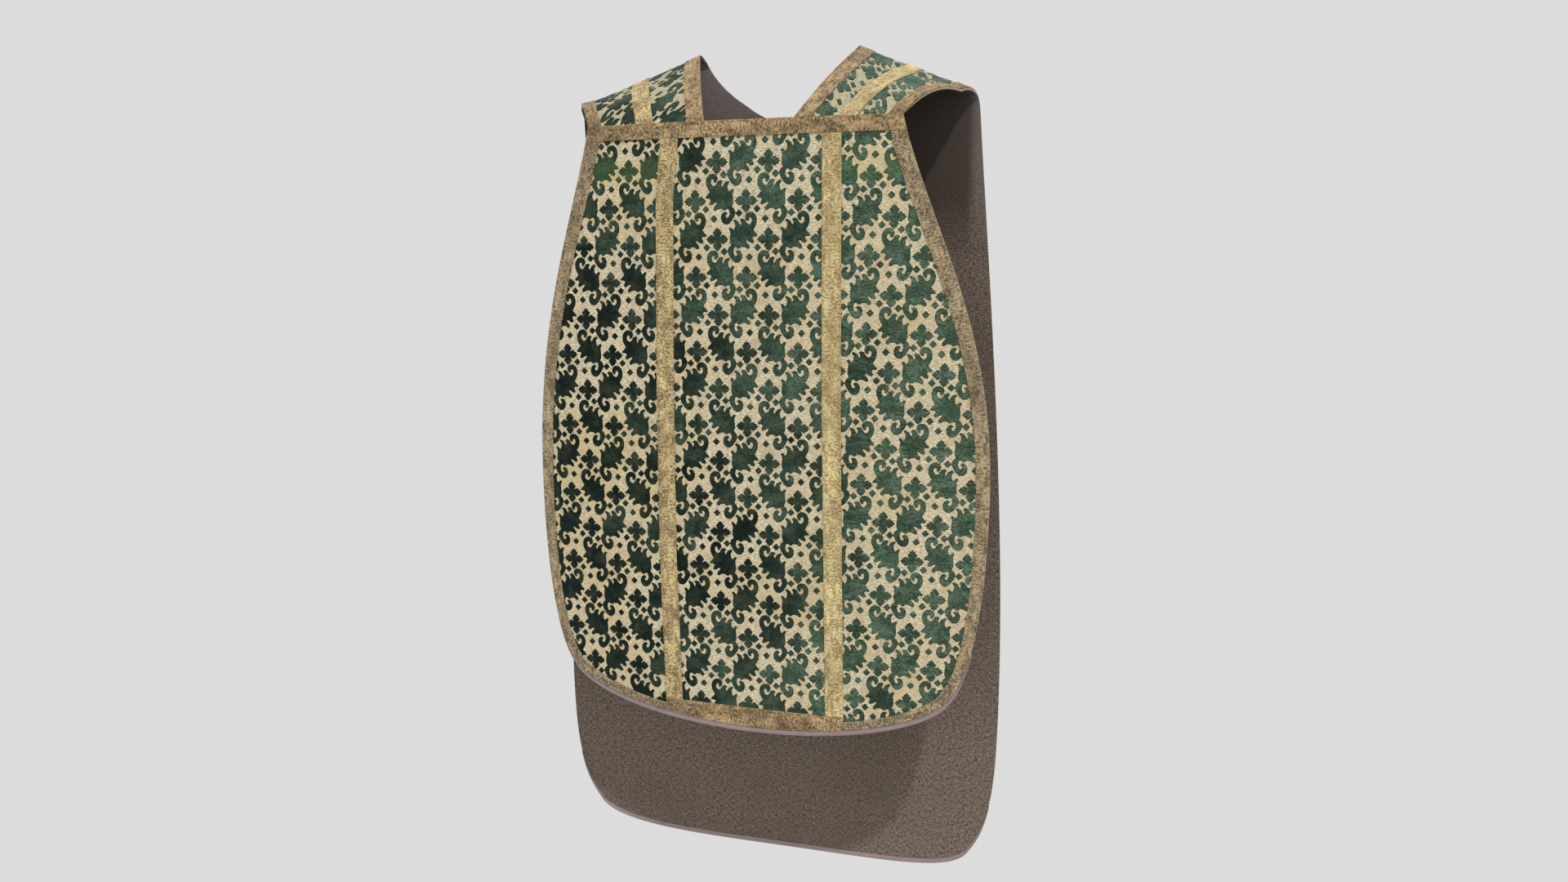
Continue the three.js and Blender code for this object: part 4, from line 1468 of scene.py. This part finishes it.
def whole_cloth(panel):
    """A whole layer of a panel, with both straps on the back."""
    right, left = body_outline(panel)
    cloth = Cloth()
    if panel == "front":
        top = np.linspace((-CHEST_HALF["left"], SEAM_LEVEL), (CHEST_HALF["right"], SEAM_LEVEL), 44)
        cloth.add_panel("front", np.concatenate([right[::-1], top[::-1][1:-1], left[::-1][:-1]])[::-1])
        return cloth.join()
    neck = np.concatenate([
        edge_points(neck_edge("left"), "left", steps=12)[1:],
        edge_points(neck_edge("right"), "right", steps=12)[::-1][1:],
    ])
    outline = [right[1:], left[1:-1], fold_line("left", ALL_SHARES[::-1]), neck[:-1],
               fold_line("right", ALL_SHARES)]
    cloth.add_panel("back", np.concatenate(outline))
    for side in SIDES:
        cloth.add_strap(side, ALL_SHARES, STRAP_ALONG)
    return cloth.join()


def column_line(panel, side, top, offset=0.0):
    """The line between a centre and a side velvet, from a level down to the hem."""
    z = np.arange(top, HEM[panel] - 5, -9.0)
    return np.stack([SIGN[side] * (column_at(panel, side, z) + offset), z], axis=-1)


def cut_at_hem(line, edge):
    """The part of a line above an edge, ending on it."""
    keep = []
    for point in line:
        nearest = int(np.argmin(np.abs(edge[len(edge) // 3:, 0] - point[0]))) + len(edge) // 3
        if point[1] > edge[nearest, 1] + 4:
            keep.append(point)
    x = keep[-1][0]
    lower = edge[len(edge) // 3:]
    order = np.argsort(lower[:, 0])
    level = float(np.interp(x, lower[order, 0], lower[order, 1]))
    return np.array([*keep, (x, level)])


def side_cloth(panel, side):
    """The velvet outside one column band, with the outer half of the strap on the back."""
    right, left = body_outline(panel)
    edge = right if side == "right" else left[::-1]
    cloth = Cloth()
    shares = HALF_SHARES["outer"]
    if panel == "front":
        top_x = SIGN[side] * float(column_at(panel, side, SEAM_LEVEL))
        top = np.linspace((top_x, SEAM_LEVEL), edge[0], 12)
    else:
        top = fold_line(side, shares)
    line = cut_at_hem(column_line(panel, side, top[0][1] - 6), edge)
    foot = abs(line[-1][0])
    outer = np.array([point for point in edge if abs(point[0]) > foot + 1 or point[1] > HEM[panel] + 200])
    outline = np.concatenate([top, outer[1:], line[::-1]])
    cloth.add_panel(panel, outline if side == "left" else outline[::-1])
    if panel == "back":
        cloth.add_strap(side, shares, STRAP_ALONG)
    return cloth.join()


def centre_cloth(panel):
    """The velvet between the column bands, with the inner halves of both straps on the back."""
    right, left = body_outline(panel)
    lines, hems = {}, []
    for side, edge in (("right", right), ("left", left[::-1])):
        if panel == "front":
            top = SEAM_LEVEL
        else:
            top = float(fold_line_point(side, 0.5)[1])
        lines[side] = cut_at_hem(column_line(panel, side, top - (6 if panel == "back" else 0)), edge)
        foot = abs(lines[side][-1][0])
        hems.append(np.array([p for p in edge[len(edge) // 2:] if abs(p[0]) < foot - 1]))
    hem = np.concatenate([hems[0], hems[1][::-1][1:]])
    cloth = Cloth()
    if panel == "front":
        top = np.linspace(lines["left"][0], lines["right"][0], 24)[1:-1]
    else:
        inner = HALF_SHARES["inner"]
        top = np.concatenate([
            fold_line("left", inner[::-1]),
            edge_points(neck_edge("left"), "left", steps=12)[1:],
            edge_points(neck_edge("right"), "right", steps=12)[::-1][1:-1],
            fold_line("right", inner),
        ])
    cloth.add_panel(panel, np.concatenate([lines["right"], hem, lines["left"][::-1], top]))
    if panel == "back":
        for side in SIDES:
            cloth.add_strap(side, HALF_SHARES["inner"], STRAP_ALONG)
    return cloth.join()


# ---------------------------------------------------------------- the bands' rows

def column_rows(panel, side):
    foot = HEM[panel] + BINDING_WIDTH + HEM_BAND_WIDTH + GAP
    sign = SIGN[side]
    band = Band()
    half = COLUMN_WIDTH / 2
    if panel == "front":
        z = np.linspace(SEAM_LEVEL - TOP_BAND_WIDTH - GAP, foot, 60)
        ends_a = [(sign * (column_at(panel, side, level) - half), level) for level in z]
        ends_b = [(sign * (column_at(panel, side, level) + half), level) for level in z]
        return band.add("front", ends_a, ends_b)
    band.add(side, *strap_rows(side, (-half,), (half,)))
    width = strap_end_width(side)
    starts = [fold_line_point(side, 0.5 + offset / width) for offset in (-half, half)]
    ends = []
    for start, offset in zip(starts, (-half, half)):
        down = np.linspace(0, 1, 90)[1:]
        z = start[1] + (foot - start[1]) * down
        settle = smooth(down * 20)
        x = sign * (column_at(panel, side, z) + offset)
        ends.append(np.stack([mix(start[0] + (x - x[0]), x, settle), z], axis=-1))
    return band.add("back", *ends)


def side_rows(panel, side):
    band = Band()
    if panel == "front":
        return band.add("front", *side_band(panel, side, SEAM_LEVEL - TOP_BAND_WIDTH - GAP))
    band.add(side, *strap_rows(side, 1.0e-9 - STRAP_EDGE_WIDTH, None))
    rows_a, rows_b = side_band(panel, side, fold_end(side)[1][1] - 4)
    return band.add("back", rows_b, rows_a)


def hem_rows(panel):
    top = HEM[panel] + BINDING_WIDTH + HEM_BAND_WIDTH
    right = edge_points(EDGE[panel]("right", BINDING_WIDTH + GAP), "right")
    left = edge_points(EDGE[panel]("left", BINDING_WIDTH + GAP), "left")
    low = np.concatenate([left[len(left) // 2:], right[len(right) // 2:][::-1][1:]])
    low = low[np.argsort(low[:, 0])]
    reach = [column_at(panel, side, top) + COLUMN_WIDTH / 2 for side in SIDES]
    x = np.linspace(-float(reach[0]), float(reach[1]), 60)
    return Band().add(panel, [(value, top) for value in x],
                      [(value, float(np.interp(value, low[:, 0], low[:, 1]))) for value in x])


def binding_rows(panel):
    ends = []
    for lift in (0.0, BINDING_WIDTH):
        right = edge_points(EDGE[panel]("right", lift), "right")
        left = edge_points(EDGE[panel]("left", lift), "left")
        ends.append(np.concatenate([left[:-1], right[::-1]]))
    low = (ends[0][:, 1] < HEM[panel] + BINDING_RISE) & (np.hypot(*(ends[1] - ends[0]).T) > 1.0)
    return Band().add(panel, ends[1][low], ends[0][low])


def strap_end_width(side):
    return float(np.linalg.norm(np.diff(strap_face(side, [0.0, 1.0], 2.0), axis=0)))


def neck_rows():
    """Up one strap, round the neckline and down the other."""
    strap = (0.0, float(NECK_BAND_WIDTH))
    edge = {side: edge_points(neck_edge(side), side) for side in SIDES}
    turn = smooth(np.linspace(0, 6, len(edge["left"])))[:, None]
    low = {}
    for side in SIDES:
        line = edge_points(neck_edge(side), side, lambda share: 0 * share - NECK_BAND_WIDTH)
        meets = fold_line_point(side, NECK_BAND_WIDTH / strap_end_width(side))
        low[side] = line + (meets - line[0]) * (1 - turn)
    band = Band()
    band.add("left", *strap_rows("left", *strap))
    band.add("back", edge["left"][1:], low["left"][1:])
    band.add("back", edge["right"][::-1][1:-1], low["right"][::-1][1:-1])
    return band.add("right", *[ends[::-1] for ends in strap_rows("right", *strap)])


def chest_rows():
    low = SEAM_LEVEL - TOP_BAND_WIDTH
    halves = {}
    for side in SIDES:
        edge = edge_points(front_edge(side), side)
        halves[side] = float(np.interp(low, edge[:30, 1][::-1], edge[:30, 0][::-1]))
    top_x = np.linspace(-CHEST_HALF["left"], CHEST_HALF["right"], 60)
    low_x = np.linspace(halves["left"], halves["right"], 60)
    return Band().add("front", [(x, SEAM_LEVEL + 0.4) for x in top_x], [(x, low) for x in low_x])


# ---------------------------------------------------------------- making the chasuble

BACK, FRONT = "back_and_straps", "front_panel"


def attach(piece, panel, node, slot):
    """Front pieces ride on the front, and the back's hem binding and hem galloon on the back; the back's
    other pieces are fixed where they are made.
    """
    if panel == "front":
        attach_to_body(piece, FRONT)
    elif node in ("back_hem_binding", "back_hem_galloon"):
        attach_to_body(piece, BACK)
    else:
        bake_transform(piece)


def make_chasuble():
    weave, age = weave_group(), age_group()
    ground = ground_finish(weave, age)
    pile = pile_finish(age)
    brown, pale, bright, dull = (
        galloon_finish(name + " gold galloon", weave, age, *look)
        for name, *look in (
            ("tarnished", (0.78, 0.56, 0.29), (0.12, 0.076, 0.038), 0.5),
            ("pale", (1.0, 0.82, 0.42), (0.24, 0.15, 0.07), 0.45),
            ("bright", (1.0, 0.88, 0.46), (0.38, 0.24, 0.1), 0.3),
            ("dull", (0.66, 0.52, 0.31), (0.13, 0.095, 0.055), 0.5, 0.3),
        )
    )
    lining = lining_finish(weave, age)
    canvas = tape_finish("canvas", weave, age, (0.55, 0.47, 0.33), (0.36, 0.3, 0.2))
    mauve = tape_finish("mauve tape", weave, age, (0.46, 0.35, 0.345), (0.27, 0.2, 0.2))
    thread = tape_finish("straw thread", weave, age, (0.5, 0.38, 0.2), (0.3, 0.22, 0.12))

    tree, unit_object = pile_tree(), pile_repeat()
    velvets = {
        "front_centre": (centre_cloth("front"), (-70.5, -168.9), 0.0),
        "front_left": (side_cloth("front", "left"), (-190.9, -176.5), 0.0),
        "front_right": (side_cloth("front", "right"), (151.3, -237.0), -1.2),
        "back_centre": (centre_cloth("back"), (0, -300), 0.0),
        "back_left": (side_cloth("back", "left"), (190, -260), 0.0),
        "back_right": (side_cloth("back", "right"), (-185, -290), 0.0),
    }
    for seed, (name, (cloth, centre, turn)) in enumerate(velvets.items()):
        panel = name.split("_")[0]
        velvet, size = cloth_piece(name + "_velvet_cloth", "velvet", cloth)
        velvet.data.materials.append(ground)
        nap = pile_piece(name + "_pile", cloth, centre, turn, seed + 3, tree, unit_object, pile)
        for piece in (velvet, nap):
            attach(piece, panel, name, "voided_velvet")
        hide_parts(name + "_velvet")

    for panel in ("front", "back"):
        cloth = whole_cloth(panel)
        for layer, finish, slot in (("interlining", canvas, "canvas"), ("lining", lining, "linen_lining")):
            piece, size = cloth_piece(f"{panel}_{layer}_cloth", layer, cloth)
            piece.data.materials.append(finish)
            node = f"{panel}_{layer}"
            attach(piece, panel, node, slot)
            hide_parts(node)

    bands = {
        "front_top_galloon": (chest_rows(), "ribbed", brown, {}),
        "front_left_column_galloon": (column_rows("front", "left"), "lattice", pale, {}),
        "front_right_column_galloon": (column_rows("front", "right"), "lattice", bright,
                                       {"laps": ((362, 0.5), (560, 0.0))}),
        "front_left_side_galloon": (side_rows("front", "left"), "ribbed", dull, {"bead": 0.3}),
        "front_right_side_galloon": (side_rows("front", "right"), "ribbed", dull, {"bead": 0.3}),
        "front_hem_galloon": (hem_rows("front"), "lattice", brown, {}),
        "back_left_column_galloon": (column_rows("back", "left"), "lattice", pale, {}),
        "back_right_column_galloon": (column_rows("back", "right"), "lattice", bright, {}),
        "back_left_side_galloon": (side_rows("back", "left"), "ribbed", brown, {}),
        "back_right_side_galloon": (side_rows("back", "right"), "ribbed", brown, {}),
        "back_hem_galloon": (hem_rows("back"), "lattice", brown, {}),
        "back_neck_galloon": (neck_rows(), "ribbed", brown, {}),
    }
    lines = {"front": [], "back": []}
    for seed, (node, (rows, style, finish, more)) in enumerate(bands.items()):
        panel = node.split("_")[0]
        piece, size, sewn = band_piece(node + "_braid", rows, style, seed=seed + 20, **more)
        piece.data.materials.append(finish)
        attach(piece, panel, node, "gold_galloon")
        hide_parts(node)
        parts = {side for side in SIDES if side in node} | (set() if "side" in node else {"centre"})
        lines[panel] += sewn
    for panel in ("front", "back"):
        node = panel + "_hem_binding"
        piece, size = folded_tape(node + "_tape", binding_rows(panel))
        piece.data.materials.append(mauve)
        attach(piece, panel, node, "mauve_binding")
        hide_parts(node)
    tree, unit_object = stitch_tree(), stitch_mesh()
    for seed, panel in enumerate(("front", "back")):
        piece = stitches_piece(panel + "_stitches", lines[panel], seed + 60, tree, unit_object, thread)
        attach(piece, panel, panel + "_stitches", "gold_galloon")


place_camera()
light_studio()
lay_floor()
make_chasuble()

boxes = {"cad": cad_box, "visual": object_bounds()}
{name: [[float(v) for v in corner] for corner in box] for name, box in boxes.items()}
